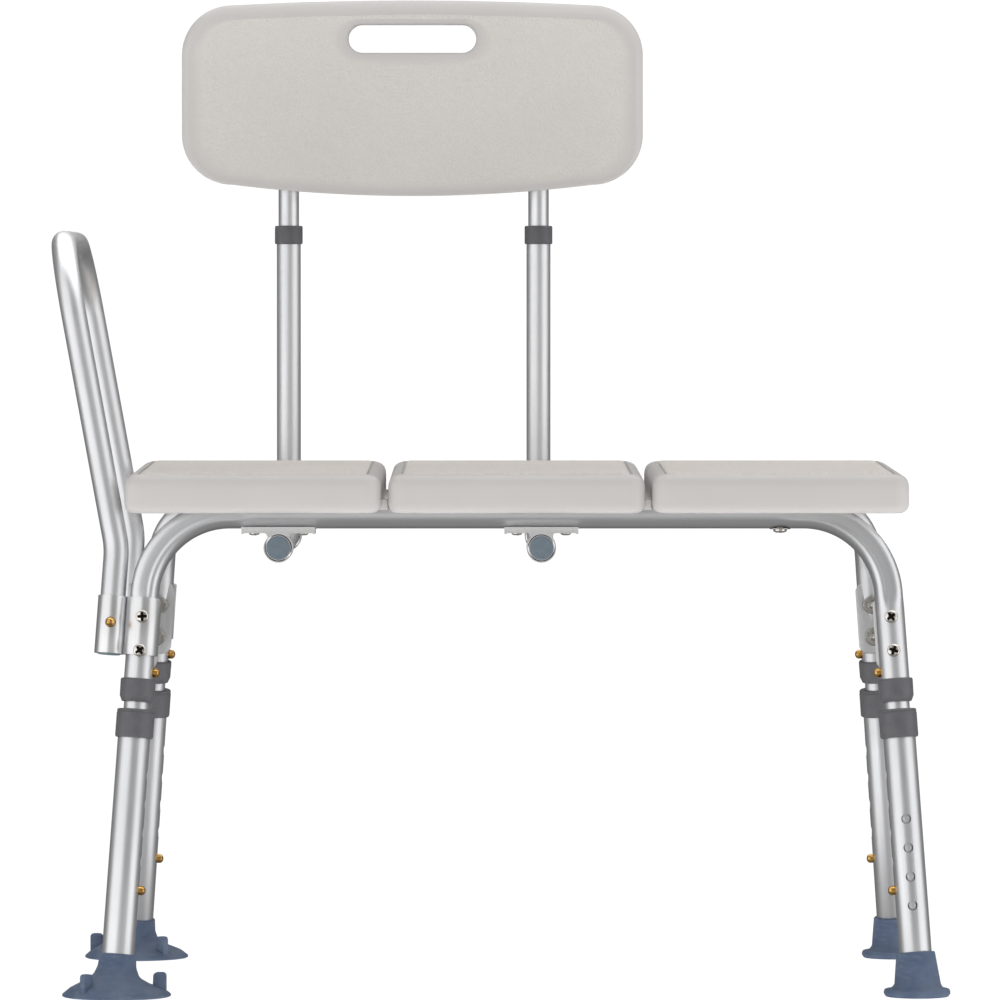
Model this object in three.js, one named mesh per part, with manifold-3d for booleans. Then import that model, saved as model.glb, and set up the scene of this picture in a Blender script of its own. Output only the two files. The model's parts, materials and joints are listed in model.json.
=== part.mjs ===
// Bath transfer bench: a three-panel seat on two splayed U-shaped frames, four legs that
// telescope, an arm rail on the left, and a backrest on two L-shaped tubes.
// Millimetres, +Z up. The front is -Y, and +X runs from the arm rail to the bench's open end.
import * as THREE from 'three';
import { mergeVertices } from 'three/addons/utils/BufferGeometryUtils.js';
import Module from 'manifold-3d';

const wasm = await Module();
wasm.setup();

// ---- Driving dimensions ----

const CLEARANCE = 0.35; // gap between neighbouring solids
const TUBE_SIDES = 12;
const POLYGON = Math.cos(Math.PI / TUBE_SIDES); // flat radius over corner radius of such a polygon

const SEAT_WIDTH = 690;
const SEAT_DEPTH = 400;
const SEAT_TOP = 457;
const SEAT_THICKNESS = 34;
const SEAT_RISE = 4; // how far the top rises from the front edge to the rear edge
const SEAT_PANELS = ['left', 'middle', 'right'];
const PANEL_GAP = 6;
const PANEL_CORNER = 13;
const PANEL_EDGE = 5;
const LUG = { height: 9, lift: 3, length: 30, offset: 172 };

const RAIL_HEIGHT = 422; // centre line of the frames' top runs
const RAIL_OFFSET = 173.5; // their distance from the bench's middle, front and rear
const LEG_CORNER = 322.5; // where the leg's line meets the rail's line
const LEG_LEAN = 0.071; // outward run of a leg, per unit of drop
const LEG_SPLAY = 0.108; // forward or rearward run of a leg, per unit of drop
const FRAME_RADIUS = 12.7;
const FRAME_BORE = 11.9;
const FRAME_BEND = { front: 75, rear: 50 };
const FRAME_END = 261.5;

const INNER_LEG = { radius: 11.1, bore: 9.9, top: 296, bottom: 68 };
const FRAME_COLLAR = { radius: 15.4, top: 277.5, height: 20.7, lip: 3, chamfer: 2.6 };
const LOWER_LEG = { radius: 14.3, bore: 12.9, top: 246, bottom: 9 };
const LEG_COLLAR = { radius: 16.8, top: 250.8, height: 25, lip: 3.6, chamfer: 1.6 };

const BUTTON = { radius: 4.2, stand: 5.8, inset: 2.4, hole: 4.9 };
const LEAF = { thickness: 0.8, width: 6, below: 5, above: 24, apex: 32, foot: 3 }; // a button's spring
const RELEASE_HEIGHT = 283.7;
const HEIGHT_BUTTON_HEIGHT = 93.5;
const HOLE_PITCH = 25.4;
const HOLE_COUNT = 5;

const FOOT_PIVOT = 20; // height at which a foot's upright axis crosses its leg's axis
const CUP = { radius: 48, neck: 16, neckTop: 37 };
const TIP = { radius: 29.5, neck: 17, neckTop: 38.5 };
const FIN = { inner: 33, outer: 44, thickness: 5, top: 21.5 };
const FIN_DEGREES = { front: [-8, 229.5], rear: [-50, 165] }; // round the cup, from +X

const BRACE = { middle: 316, height: 64, thickness: 3, flange: 27, overhang: 12.4 };

const ARM_RADIUS = 11.1;
const ARM_BORE = 10;
const ARM_SPACING = 27.6; // from the leg's axis to the arm tube's axis
const ARM_BRACKET = { top: 346.5, bottom: 296.8, sleeve: 12.9, shell: 15.6, web: { near: -2.5, far: 3.6 } };
const ARM_BEND_HEIGHT = 391;
const ARM_LEAN = 0.183; // outward run of the arm rail, per unit of rise
const ARM_TOP = 661;
const ARM_OFFSET = 176;
const ARM_BEND = 70;
const ARM_BUTTON_HEIGHT = 324.5;

const BACK_TUBES = { left: -209.6, right: 21.7 };
const BACK_TUBE = { radius: 11.1, bore: 10, offset: 222, run: 392.7, front: -193, top: 668, bend: 45 };
const UPPER_TUBE = { radius: 9.5, bore: 8.2, bottom: 600, top: 806 };
const BACK_COLLAR = { radius: 12.9, top: 678.4, height: 17, lip: 6 };
const BACK_BUTTON_HEIGHT = 642;
const BACK_PLATE = { width: 65, length: 36, bottom: 405.6, thickness: 5.4 };
const BACK_RING = 13;
const BACK_BRACKETS = { front: -RAIL_OFFSET, rear: 157 };
const BACK_PANEL = { middle: -94.9, half: 212.8, top: 886.5, bottom: 705.5, corner: 46 };
const BACK_DEPTH = { front: 190, rear: 220, edge: 6 };
const BACK_BOW = { top: 4.6, bottom: 10.4 };
const SLOT = { height: 850.8, half: 59, radius: 13 };
const PLUG = { head: 10.8, flange: 3, stem: 8.9, depth: 12 };

// ---- Materials ----

const material = (colour, roughness, metalness) =>
  new THREE.MeshStandardMaterial({ color: colour, roughness, metalness });
const PLASTIC = material(0xdedbd5, 0.55, 0);
const ALUMINIUM = material(0xb9bcc0, 0.38, 1);
const CHARCOAL = material(0x3c3d40, 0.45, 0);
const RUBBER = material(0x3f4c5e, 0.8, 0);
const BRASS = material(0xb98c3c, 0.35, 1);

// ---- Making solids ----

const bench = new THREE.Group();

function add(parent, name, geometry, look) {
  const mesh = new THREE.Mesh(geometry, look);
  mesh.name = name;
  parent.add(mesh);
  return mesh;
}

function toSolid(geometry) {
  const bare = geometry.clone();
  bare.deleteAttribute('normal');
  bare.deleteAttribute('uv');
  const merged = mergeVertices(bare, 1e-4);
  return new wasm.Manifold(new wasm.Mesh({
    numProp: 3,
    vertProperties: new Float32Array(merged.attributes.position.array),
    triVerts: new Uint32Array(merged.index.array),
  }));
}

function toGeometry(solid) {
  const mesh = solid.getMesh();
  const geometry = new THREE.BufferGeometry();
  geometry.setAttribute('position', new THREE.BufferAttribute(mesh.vertProperties, 3));
  geometry.setIndex(new THREE.BufferAttribute(mesh.triVerts, 1));
  geometry.computeVertexNormals();
  return geometry;
}

// Joins the first list of geometries and cuts away the second.
function shaped(joined, cut = []) {
  let solid = toSolid(joined[0]);
  for (const extra of joined.slice(1)) solid = solid.add(toSolid(extra));
  for (const tool of cut) solid = solid.subtract(toSolid(tool));
  return toGeometry(solid);
}

// A solid of revolution about Z, from [radius, height] points that run anticlockwise.
function turned(profile, sides = TUBE_SIDES) {
  const points = profile.map(([radius, height]) => new THREE.Vector2(radius, height));
  return new THREE.LatheGeometry(points, sides).rotateX(Math.PI / 2);
}

function rod(radius, low, high, sides = TUBE_SIDES) {
  return turned([[0, low], [radius, low], [radius, high], [0, high]], sides);
}

function ringShape(outer, inner) {
  const shape = new THREE.Shape().absarc(0, 0, outer, 0, 2 * Math.PI, false);
  if (inner > 0) shape.holes.push(new THREE.Path().absarc(0, 0, inner, 0, 2 * Math.PI, true));
  return shape;
}

function pipe(outer, inner, low, high) {
  const options = { depth: high - low, bevelEnabled: false, curveSegments: TUBE_SIDES / 2 };
  return new THREE.ExtrudeGeometry(ringShape(outer, inner), options).translate(0, 0, low);
}

// Straight runs joined by arcs, with a station at each end of a run and along each arc.
class BentPath extends THREE.Curve {
  constructor(corners, arcSteps) {
    super();
    this.points = [];
    this.tangents = [];
    const points = corners.map((corner) => corner.at);
    for (let i = 0; i < corners.length; i += 1) {
      const before = i > 0 ? points[i].clone().sub(points[i - 1]).normalize() : null;
      const after = i < corners.length - 1 ? points[i + 1].clone().sub(points[i]).normalize() : null;
      if (before && after) this.addArc(points[i], before, after, corners[i].radius, arcSteps);
      else this.addStation(points[i], before ?? after);
    }
  }

  addStation(point, tangent) {
    this.points.push(point);
    this.tangents.push(tangent);
  }

  addArc(corner, before, after, radius, fullSteps) {
    const angle = before.angleTo(after);
    const start = corner.clone().addScaledVector(before, -radius * Math.tan(angle / 2));
    const axis = before.clone().cross(after).normalize();
    const centre = start.clone().addScaledVector(axis.clone().cross(before), radius);
    const steps = Math.max(2, Math.round((fullSteps * angle) / (Math.PI / 2)));
    for (let i = 0; i <= steps; i += 1) {
      const turn = (angle * i) / steps;
      const arm = start.clone().sub(centre).applyAxisAngle(axis, turn);
      this.addStation(centre.clone().add(arm), before.clone().applyAxisAngle(axis, turn));
    }
  }

  getPoint(t) {
    return this.points[Math.round(t * (this.points.length - 1))].clone();
  }

  getPointAt(t) {
    return this.getPoint(t);
  }

  getTangentAt(t) {
    return this.tangents[Math.round(t * (this.points.length - 1))].clone();
  }
}

function bentPipe(corners, outer, inner, arcSteps = 6) {
  const path = new BentPath(corners, arcSteps);
  return new THREE.ExtrudeGeometry(ringShape(outer, inner), {
    extrudePath: path,
    steps: path.points.length - 1,
    curveSegments: TUBE_SIDES / 2,
  });
}

function block(low, high) {
  const [x, y, z] = high.map((value, i) => value - low[i]);
  const middle = high.map((value, i) => (value + low[i]) / 2);
  return new THREE.BoxGeometry(x, y, z).translate(...middle);
}

function roundedRectangle(halfX, halfY, radius) {
  const shape = new THREE.Shape();
  shape.absarc(halfX - radius, halfY - radius, radius, 0, Math.PI / 2, false);
  shape.absarc(radius - halfX, halfY - radius, radius, Math.PI / 2, Math.PI, false);
  shape.absarc(radius - halfX, radius - halfY, radius, Math.PI, 1.5 * Math.PI, false);
  shape.absarc(halfX - radius, radius - halfY, radius, 1.5 * Math.PI, 2 * Math.PI, false);
  return shape;
}

// A snap button along +X, riveted to a V-shaped leaf spring. It stands out of a tube of the given
// radius, and the leaf's arms lie along opposite sides of the given bore.
function button(tubeRadius, bore) {
  const tip = tubeRadius + BUTTON.stand;
  const root = bore - BUTTON.inset;
  const dome = [15, 45, 70].map((degrees) => {
    const angle = THREE.MathUtils.degToRad(degrees);
    return [BUTTON.radius * Math.cos(angle), tip - BUTTON.radius * (1 - Math.sin(angle))];
  });
  const profile = [[0, root], [BUTTON.radius, root], ...dome, [0, tip]];
  const { thickness, width, below, above, apex, foot } = LEAF;
  const outer = [[root, -below], [root, above], [root / 2, apex], [-root / 2, apex], [-root, foot]];
  const inner = [
    [thickness - root, foot], [thickness - root / 2, apex - thickness],
    [root / 2 - thickness, apex - thickness], [root - thickness, above], [root - thickness, -below],
  ];
  const outline = new THREE.Shape([...outer, ...inner].map(([x, z]) => new THREE.Vector2(x, z)));
  const leaf = new THREE.ExtrudeGeometry(outline, { depth: width, bevelEnabled: false })
    .rotateX(Math.PI / 2).translate(0, width / 2, 0);
  return shaped([turned(profile, 8).rotateY(Math.PI / 2), leaf]);
}

function buttonHole(drop) {
  return rod(BUTTON.hole, UPPER_TUBE.bore - 2, LOWER_LEG.radius + 4, 8)
    .rotateY(Math.PI / 2).translate(0, 0, -drop);
}

// The plug that closes a tube's end: its head points down, its stem is inside the tube.
function plug() {
  const profile = [
    [0, -PLUG.flange], [PLUG.head, -PLUG.flange], [PLUG.head, -CLEARANCE],
    [PLUG.stem, -CLEARANCE], [PLUG.stem, PLUG.depth], [0, PLUG.depth],
  ];
  return turned(profile, 10);
}

// ---- Legs: places and directions ----

const ENDS = { front: -1, rear: 1 };
const SIDES = { left: -1, right: 1 };
const LEG_SLOPE = Math.hypot(1, LEG_LEAN, LEG_SPLAY); // length of leg per unit of drop

function legPoint(side, end, height) {
  const drop = RAIL_HEIGHT - height;
  return new THREE.Vector3(
    side * (LEG_CORNER + LEG_LEAN * drop),
    end * (RAIL_OFFSET + LEG_SPLAY * drop),
    height,
  );
}

// Distance down the leg's axis from the rail's height to the given height.
const down = (height) => (RAIL_HEIGHT - height) * LEG_SLOPE;

// A group whose origin is the top of a leg's axis: -Z runs down the leg and +X faces inwards.
function legGroup(side, end) {
  const upwards = new THREE.Vector3(-side * LEG_LEAN, -end * LEG_SPLAY, 1).normalize();
  const inwards = new THREE.Vector3(-side, 0, 0);
  inwards.addScaledVector(upwards, -inwards.dot(upwards)).normalize();
  const across = upwards.clone().cross(inwards);
  const group = new THREE.Group();
  group.quaternion.setFromRotationMatrix(new THREE.Matrix4().makeBasis(inwards, across, upwards));
  group.position.copy(legPoint(side, end, RAIL_HEIGHT));
  group.updateMatrix();
  return group;
}

// ---- Frames ----

function frameCorners(end, height = FRAME_END) {
  const radius = end === ENDS.front ? FRAME_BEND.front : FRAME_BEND.rear;
  return [
    { at: legPoint(-1, end, height) },
    { at: legPoint(-1, end, RAIL_HEIGHT), radius },
    { at: legPoint(1, end, RAIL_HEIGHT), radius },
    { at: legPoint(1, end, height) },
  ];
}

function frame(end) {
  const holes = Object.values(SIDES).map((side) =>
    buttonHole(down(RELEASE_HEIGHT)).applyMatrix4(legGroup(side, end).matrix));
  return shaped([bentPipe(frameCorners(end), FRAME_RADIUS, FRAME_BORE)], holes);
}

for (const [name, end] of Object.entries(ENDS)) add(bench, `${name}_frame`, frame(end), ALUMINIUM);

// ---- Seat ----

const panelWidth = (SEAT_WIDTH - 2 * PANEL_GAP) / 3;

function seatPanel(middle, hasLugs) {
  const underside = SEAT_TOP - SEAT_THICKNESS;
  const body = new THREE.ExtrudeGeometry(
    roundedRectangle(panelWidth / 2, SEAT_DEPTH / 2, PANEL_CORNER),
    {
      depth: SEAT_THICKNESS - 2 * PANEL_EDGE,
      bevelThickness: PANEL_EDGE,
      bevelSize: PANEL_EDGE,
      bevelOffset: -PANEL_EDGE,
      bevelSegments: 2,
      curveSegments: 4,
    },
  ).translate(middle, 0, underside + PANEL_EDGE);
  const at = body.attributes.position;
  for (let i = 0; i < at.count; i += 1) {
    const share = at.getY(i) / SEAT_DEPTH + 0.5;
    const isUpper = at.getZ(i) > underside + SEAT_THICKNESS / 2;
    at.setZ(i, at.getZ(i) + (isUpper ? SEAT_RISE * share : 0));
  }
  const edge = middle + panelWidth / 2;
  const low = underside + LUG.lift;
  const lugs = hasLugs ? [-1, 1].map((end) => block(
    [edge - PANEL_EDGE - 4, end * LUG.offset - LUG.length / 2, low],
    [edge + PANEL_GAP - CLEARANCE, end * LUG.offset + LUG.length / 2, low + LUG.height],
  )) : [];
  const grooves = Object.values(ENDS).map((end) =>
    bentPipe(frameCorners(end), FRAME_RADIUS + CLEARANCE, 0));
  return shaped([body, ...lugs], grooves);
}

SEAT_PANELS.forEach((name, index) => {
  const middle = (index - 1) * (panelWidth + PANEL_GAP);
  add(bench, `seat_panel_${name}`, seatPanel(middle, name !== 'right'), PLASTIC);
});

// ---- Legs ----

function frameCollar() {
  const { radius, height, lip, chamfer } = FRAME_COLLAR;
  const wide = (FRAME_RADIUS + 0.15) / POLYGON;
  const narrow = (INNER_LEG.radius + 0.15) / POLYGON;
  return turned([
    [wide, 0], [wide, lip - height], [narrow, lip - height], [narrow, -height],
    [radius - chamfer, -height], [radius, 2 * chamfer - height], [radius, -0.8], [radius - 0.8, 0], [wide, 0],
  ]);
}

function legCollar() {
  const { radius, height, lip, chamfer } = LEG_COLLAR;
  const wide = (LOWER_LEG.radius + 0.15) / POLYGON;
  const narrow = (INNER_LEG.radius + 0.15) / POLYGON;
  return turned([
    [narrow, 0], [narrow, -lip], [wide, -lip], [wide, -height],
    [radius, -height], [radius, -chamfer], [radius - chamfer, 0], [narrow, 0],
  ]);
}

function innerLeg() {
  const tube = pipe(INNER_LEG.radius, INNER_LEG.bore, -down(INNER_LEG.bottom), -down(INNER_LEG.top));
  return shaped([tube], [buttonHole(down(RELEASE_HEIGHT)), buttonHole(down(HEIGHT_BUTTON_HEIGHT))]);
}

function lowerLeg() {
  const tube = pipe(LOWER_LEG.radius, LOWER_LEG.bore, -down(LOWER_LEG.bottom), -down(LOWER_LEG.top));
  const lowest = down(HEIGHT_BUTTON_HEIGHT);
  const holes = Array.from({ length: HOLE_COUNT }, (_, i) => buttonHole(lowest - i * HOLE_PITCH));
  return shaped([tube], holes);
}

// The neck of a foot follows the leg; the rest of the foot stands level on the floor.
function footGeometry(side, end, base, neck, neckTop, extras) {
  const leg = legGroup(side, end);
  const pivot = legPoint(side, end, FOOT_PIVOT);
  const along = (geometry) => geometry.applyMatrix4(leg.matrix);
  const upright = (geometry) => geometry.translate(pivot.x, pivot.y, 0);
  const neckBody = rod(neck, -down(FOOT_PIVOT - 6), -down(neckTop), 16);
  const bore = rod(LOWER_LEG.radius + CLEARANCE, -down(LOWER_LEG.bottom - 1), -down(neckTop + 20));
  return shaped([upright(base), along(neckBody), ...extras.map(upright)], [along(bore)]);
}

function suctionFoot(side, end, endName) {
  const base = turned([
    [0, 4], [40, 0], [CUP.radius, 0], [CUP.radius, 2.5], [41, 6.5],
    [28, 12], [20, 19], [17.5, 28], [0, 28],
  ], 20);
  const fins = FIN_DEGREES[endName].map((degrees) => block(
    [FIN.inner, -FIN.thickness / 2, 3],
    [FIN.outer, FIN.thickness / 2, FIN.top],
  ).rotateZ(THREE.MathUtils.degToRad(degrees)));
  return footGeometry(side, end, base, CUP.neck, CUP.neckTop, fins);
}

function rubberTip(side, end) {
  const base = turned([
    [0, 0], [TIP.radius - 2, 0], [TIP.radius, 2.5], [TIP.radius, 6], [TIP.radius - 3, 9],
    [21.5, 11], [20, 28], [0, 28],
  ], 16);
  return footGeometry(side, end, base, TIP.neck, TIP.neckTop, []);
}

for (const [endName, end] of Object.entries(ENDS)) {
  for (const [sideName, side] of Object.entries(SIDES)) {
    const place = `${endName}_${sideName}`;
    const leg = legGroup(side, end);
    bench.add(leg);
    add(leg, `inner_leg_${place}`, innerLeg(), ALUMINIUM);
    add(leg, `lower_leg_${place}`, lowerLeg(), ALUMINIUM);
    add(leg, `frame_collar_${place}`, frameCollar(), CHARCOAL).position.z = -down(FRAME_COLLAR.top);
    add(leg, `leg_collar_${place}`, legCollar(), CHARCOAL).position.z = -down(LEG_COLLAR.top);
    add(leg, `release_button_${place}`, button(FRAME_RADIUS, INNER_LEG.bore), BRASS)
      .position.z = -down(RELEASE_HEIGHT);
    add(leg, `height_button_${place}`, button(LOWER_LEG.radius, INNER_LEG.bore), BRASS)
      .position.z = -down(HEIGHT_BUTTON_HEIGHT);
    if (sideName === 'left') add(bench, `suction_foot_${place}`, suctionFoot(side, end, endName), RUBBER);
    else add(bench, `rubber_tip_${place}`, rubberTip(side, end), RUBBER);
  }
}

// ---- Side braces ----

// A strap bent to a wide U in plan, then leant and flared so that it follows the legs.
function sideBrace(side) {
  const { middle, height, thickness, flange, overhang } = BRACE;
  const leg = legPoint(1, 1, middle);
  const outerX = leg.x + overhang;
  const outerY = leg.y - FRAME_RADIUS - CLEARANCE;
  const shape = new THREE.Shape([
    [outerX, -outerY], [outerX, outerY], [outerX - flange, outerY],
    [outerX - flange, outerY - thickness], [outerX - thickness, outerY - thickness],
    [outerX - thickness, thickness - outerY], [outerX - flange, thickness - outerY],
    [outerX - flange, -outerY],
  ].map(([x, y]) => new THREE.Vector2(side * x, y)));
  const strap = new THREE.ExtrudeGeometry(shape, { depth: height, bevelEnabled: false });
  const at = strap.attributes.position;
  for (let i = 0; i < at.count; i += 1) {
    const drop = height / 2 - at.getZ(i);
    at.setX(i, at.getX(i) + side * LEG_LEAN * drop);
    at.setY(i, at.getY(i) + Math.sign(at.getY(i)) * LEG_SPLAY * drop);
  }
  return strap.translate(0, 0, middle - height / 2);
}

for (const [name, side] of Object.entries(SIDES)) {
  add(bench, `side_brace_${name}`, sideBrace(side), ALUMINIUM);
}

// ---- Arm rail, on the left ----

const armSide = SIDES.left;

function besideLeg(end, height) {
  return new THREE.Vector3(-ARM_SPACING, 0, -down(height)).applyMatrix4(legGroup(armSide, end).matrix);
}

function armRail() {
  const corner = (end) => {
    const foot = besideLeg(end, ARM_BRACKET.bottom + 1);
    const bend = besideLeg(end, ARM_BEND_HEIGHT);
    bend.y = end * ARM_OFFSET;
    const top = bend.clone();
    top.z = ARM_TOP;
    top.x += armSide * ARM_LEAN * (ARM_TOP - bend.z);
    return [{ at: foot }, { at: bend, radius: ARM_BEND }, { at: top, radius: ARM_BEND }];
  };
  const holes = Object.values(ENDS).map((end) => armButtonPlace(end, buttonHole(0)));
  const path = [...corner(-1), ...corner(1).reverse()];
  return shaped([bentPipe(path, ARM_RADIUS, ARM_BORE)], holes);
}

// Turns a button along +X to face away from the bench, on the arm tube's axis.
function armButtonPlace(end, geometry) {
  return geometry.rotateZ((end * Math.PI) / 2).translate(-ARM_SPACING, 0, -down(ARM_BUTTON_HEIGHT))
    .applyMatrix4(legGroup(armSide, end).matrix);
}

// A sleeve round the arm tube and a half shell on the leg's outer face, in one extrusion.
function armBracket(end) {
  const { top, bottom, sleeve, shell, web } = ARM_BRACKET;
  const low = -down(bottom);
  const high = -down(top);
  const leg = legGroup(armSide, end).matrix;
  const onSleeve = (geometry) => geometry.translate(-ARM_SPACING, 0, 0);
  const slab = (near, far, halfX, extra) => {
    const [nearY, farY] = [end * near, end * far].sort((a, b) => a - b);
    return block([-halfX, nearY, low - extra], [halfX, farY, high + extra]);
  };
  const halfShell = shaped([rod(shell, low, high, 16)], [slab(-shell - 1, 0.5, shell + 1, 1)]);
  const webBody = slab(web.near, web.far, ARM_SPACING / 2, 0).translate(-ARM_SPACING / 2, 0, 0);
  const body = shaped(
    [onSleeve(rod(sleeve, low, high, 16)), halfShell, webBody],
    [
      onSleeve(rod((ARM_RADIUS + 0.15) / POLYGON, low - 1, high + 1)),
      rod((FRAME_RADIUS + 0.15) / POLYGON, low - 1, high + 1),
    ],
  ).applyMatrix4(leg);
  return shaped([body], [armButtonPlace(end, buttonHole(0))]);
}

add(bench, 'arm_rail', armRail(), ALUMINIUM);
for (const [name, end] of Object.entries(ENDS)) {
  add(bench, `arm_bracket_${name}`, armBracket(end), ALUMINIUM);
  add(bench, `arm_button_${name}`, armButtonPlace(end, button(ARM_BRACKET.sleeve, ARM_BORE)), BRASS);
  const armPlug = plug().translate(-ARM_SPACING, 0, -down(ARM_BRACKET.bottom + 1));
  add(bench, `arm_plug_${name}`, armPlug.applyMatrix4(legGroup(armSide, end).matrix), RUBBER);
}

// ---- Backrest ----

function backTube(x) {
  const { radius, bore, offset, run, front, top, bend } = BACK_TUBE;
  const path = [
    { at: new THREE.Vector3(x, front, run) },
    { at: new THREE.Vector3(x, offset, run), radius: bend },
    { at: new THREE.Vector3(x, offset, top) },
  ];
  return shaped([bentPipe(path, radius, bore)], [backButtonPlace(x, buttonHole(0))]);
}

function backButtonPlace(x, geometry) {
  return geometry.rotateZ(Math.PI / 2).translate(x, BACK_TUBE.offset, BACK_BUTTON_HEIGHT);
}

function upperTube(x) {
  const tube = pipe(UPPER_TUBE.radius, UPPER_TUBE.bore, UPPER_TUBE.bottom, UPPER_TUBE.top);
  return shaped([tube.translate(x, BACK_TUBE.offset, 0)], [backButtonPlace(x, buttonHole(0))]);
}

function backCollar() {
  const { radius, height, lip } = BACK_COLLAR;
  const wide = (BACK_TUBE.radius + 0.15) / POLYGON;
  const narrow = (UPPER_TUBE.radius + 0.15) / POLYGON;
  return turned([
    [narrow, 0], [narrow, -lip], [wide, -lip], [wide, -height],
    [radius, -height], [radius, -1], [radius - 1, 0], [narrow, 0],
  ]);
}

function backPanel() {
  const { half, top, bottom, corner } = BACK_PANEL;
  const upper = top - BACK_BOW.top;
  const lower = bottom + BACK_BOW.bottom;
  const inset = half - corner;
  const shape = new THREE.Shape();
  shape.moveTo(-inset, lower);
  shape.quadraticCurveTo(0, 2 * bottom - lower, inset, lower);
  shape.absarc(inset, lower + corner, corner, -Math.PI / 2, 0, false);
  shape.absarc(inset, upper - corner, corner, 0, Math.PI / 2, false);
  shape.quadraticCurveTo(0, 2 * top - upper, -inset, upper);
  shape.absarc(-inset, upper - corner, corner, Math.PI / 2, Math.PI, false);
  shape.absarc(-inset, lower + corner, corner, Math.PI, 1.5 * Math.PI, false);
  const reach = SLOT.half - SLOT.radius;
  const slot = new THREE.Path();
  slot.absarc(reach, SLOT.height, SLOT.radius, Math.PI / 2, -Math.PI / 2, true);
  slot.absarc(-reach, SLOT.height, SLOT.radius, 1.5 * Math.PI, Math.PI / 2, true);
  shape.holes.push(slot);
  const { front, rear, edge } = BACK_DEPTH;
  const body = new THREE.ExtrudeGeometry(shape, {
    depth: rear - front - 2 * edge,
    bevelThickness: edge,
    bevelSize: edge,
    bevelOffset: -edge,
    bevelSegments: 2,
    curveSegments: 5,
  }).rotateX(Math.PI / 2).translate(BACK_PANEL.middle, rear - edge, 0);
  const grooves = Object.values(BACK_TUBES).map((x) =>
    rod(UPPER_TUBE.radius + 0.7, bottom - 10, UPPER_TUBE.top + 1).translate(x, BACK_TUBE.offset, 0));
  return shaped([body], grooves);
}

// An extruded plate under the seat rail with a ring below it for the backrest tube.
function backBracket(x, middle) {
  const { width, length, bottom, thickness } = BACK_PLATE;
  const low = middle - length / 2;
  const high = middle + length / 2;
  const alongY = (geometry) => geometry.rotateX(-Math.PI / 2);
  const body = [
    block([x - width / 2, low, bottom], [x + width / 2, high, bottom + thickness]),
    alongY(rod(BACK_RING, low, high, 16)).translate(x, 0, BACK_TUBE.run),
    block([x - 7, low, BACK_TUBE.run + 9], [x + 7, high, bottom + 1]),
  ];
  const cuts = [
    alongY(rod((BACK_TUBE.radius + 0.15) / POLYGON, low - 1, high + 1)).translate(x, 0, BACK_TUBE.run),
    bentPipe(frameCorners(Math.sign(middle)), FRAME_RADIUS + CLEARANCE, 0),
  ];
  return shaped(body, cuts);
}

add(bench, 'back_panel', backPanel(), PLASTIC);
for (const [name, x] of Object.entries(BACK_TUBES)) {
  add(bench, `back_tube_${name}`, backTube(x), ALUMINIUM);
  add(bench, `back_upper_tube_${name}`, upperTube(x), ALUMINIUM);
  add(bench, `back_collar_${name}`, backCollar(), CHARCOAL)
    .position.set(x, BACK_TUBE.offset, BACK_COLLAR.top);
  add(bench, `back_button_${name}`, backButtonPlace(x, button(BACK_TUBE.radius, UPPER_TUBE.bore)), BRASS);
  const endCap = plug().rotateX(-Math.PI / 2).translate(x, BACK_TUBE.front, BACK_TUBE.run);
  add(bench, `back_end_cap_${name}`, endCap, RUBBER);
  for (const [endName, middle] of Object.entries(BACK_BRACKETS)) {
    add(bench, `back_bracket_${endName}_${name}`, backBracket(x, middle), ALUMINIUM);
  }
}

// ---- Origin: bottom centre of the bench's bounding box ----

bench.updateMatrixWorld(true);
const box = new THREE.Box3().setFromObject(bench, true);
const centre = box.getCenter(new THREE.Vector3());
bench.position.set(-centre.x, -centre.y, -box.min.z);

export default bench;
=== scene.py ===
"""Looks of the bath transfer bench: detailed pieces, materials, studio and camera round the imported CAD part.

Mesh code works in millimetres in the row frame: +Z up, the front is -Y, the arm rail is at -X. The functions
`box` and `add_piece` convert from and to the metres of the Blender scene.
"""
import json
import math

import bmesh
import bpy
from mathutils import Matrix, Vector


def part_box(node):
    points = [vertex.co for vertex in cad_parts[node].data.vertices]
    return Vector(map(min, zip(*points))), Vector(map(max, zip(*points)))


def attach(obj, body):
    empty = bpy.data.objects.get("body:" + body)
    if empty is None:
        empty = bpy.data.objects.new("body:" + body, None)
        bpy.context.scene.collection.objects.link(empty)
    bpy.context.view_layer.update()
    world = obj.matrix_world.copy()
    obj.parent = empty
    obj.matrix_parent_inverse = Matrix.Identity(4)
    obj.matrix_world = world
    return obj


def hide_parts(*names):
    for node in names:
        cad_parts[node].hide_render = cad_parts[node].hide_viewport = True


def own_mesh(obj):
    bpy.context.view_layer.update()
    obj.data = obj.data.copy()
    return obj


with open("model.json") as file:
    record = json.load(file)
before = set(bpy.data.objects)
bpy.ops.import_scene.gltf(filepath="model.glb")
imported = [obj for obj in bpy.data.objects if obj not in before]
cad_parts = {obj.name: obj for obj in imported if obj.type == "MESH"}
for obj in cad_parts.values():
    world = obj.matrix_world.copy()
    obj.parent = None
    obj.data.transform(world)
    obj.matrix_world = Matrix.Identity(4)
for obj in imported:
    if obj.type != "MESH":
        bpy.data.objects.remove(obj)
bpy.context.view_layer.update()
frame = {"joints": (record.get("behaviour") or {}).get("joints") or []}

MM = 0.001
X, Y, Z = Vector((1, 0, 0)), Vector((0, 1, 0)), Vector((0, 0, 1))
ENDS = {"front": -1, "rear": 1}
SIDES = {"left": -1, "right": 1}
JOINTS = {joint["name"]: joint for joint in frame["joints"]}


def box(node):
    low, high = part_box(node)
    return low / MM, high / MM


# ---- Sizes that the frame's boxes don't give, in millimetres ----

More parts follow.
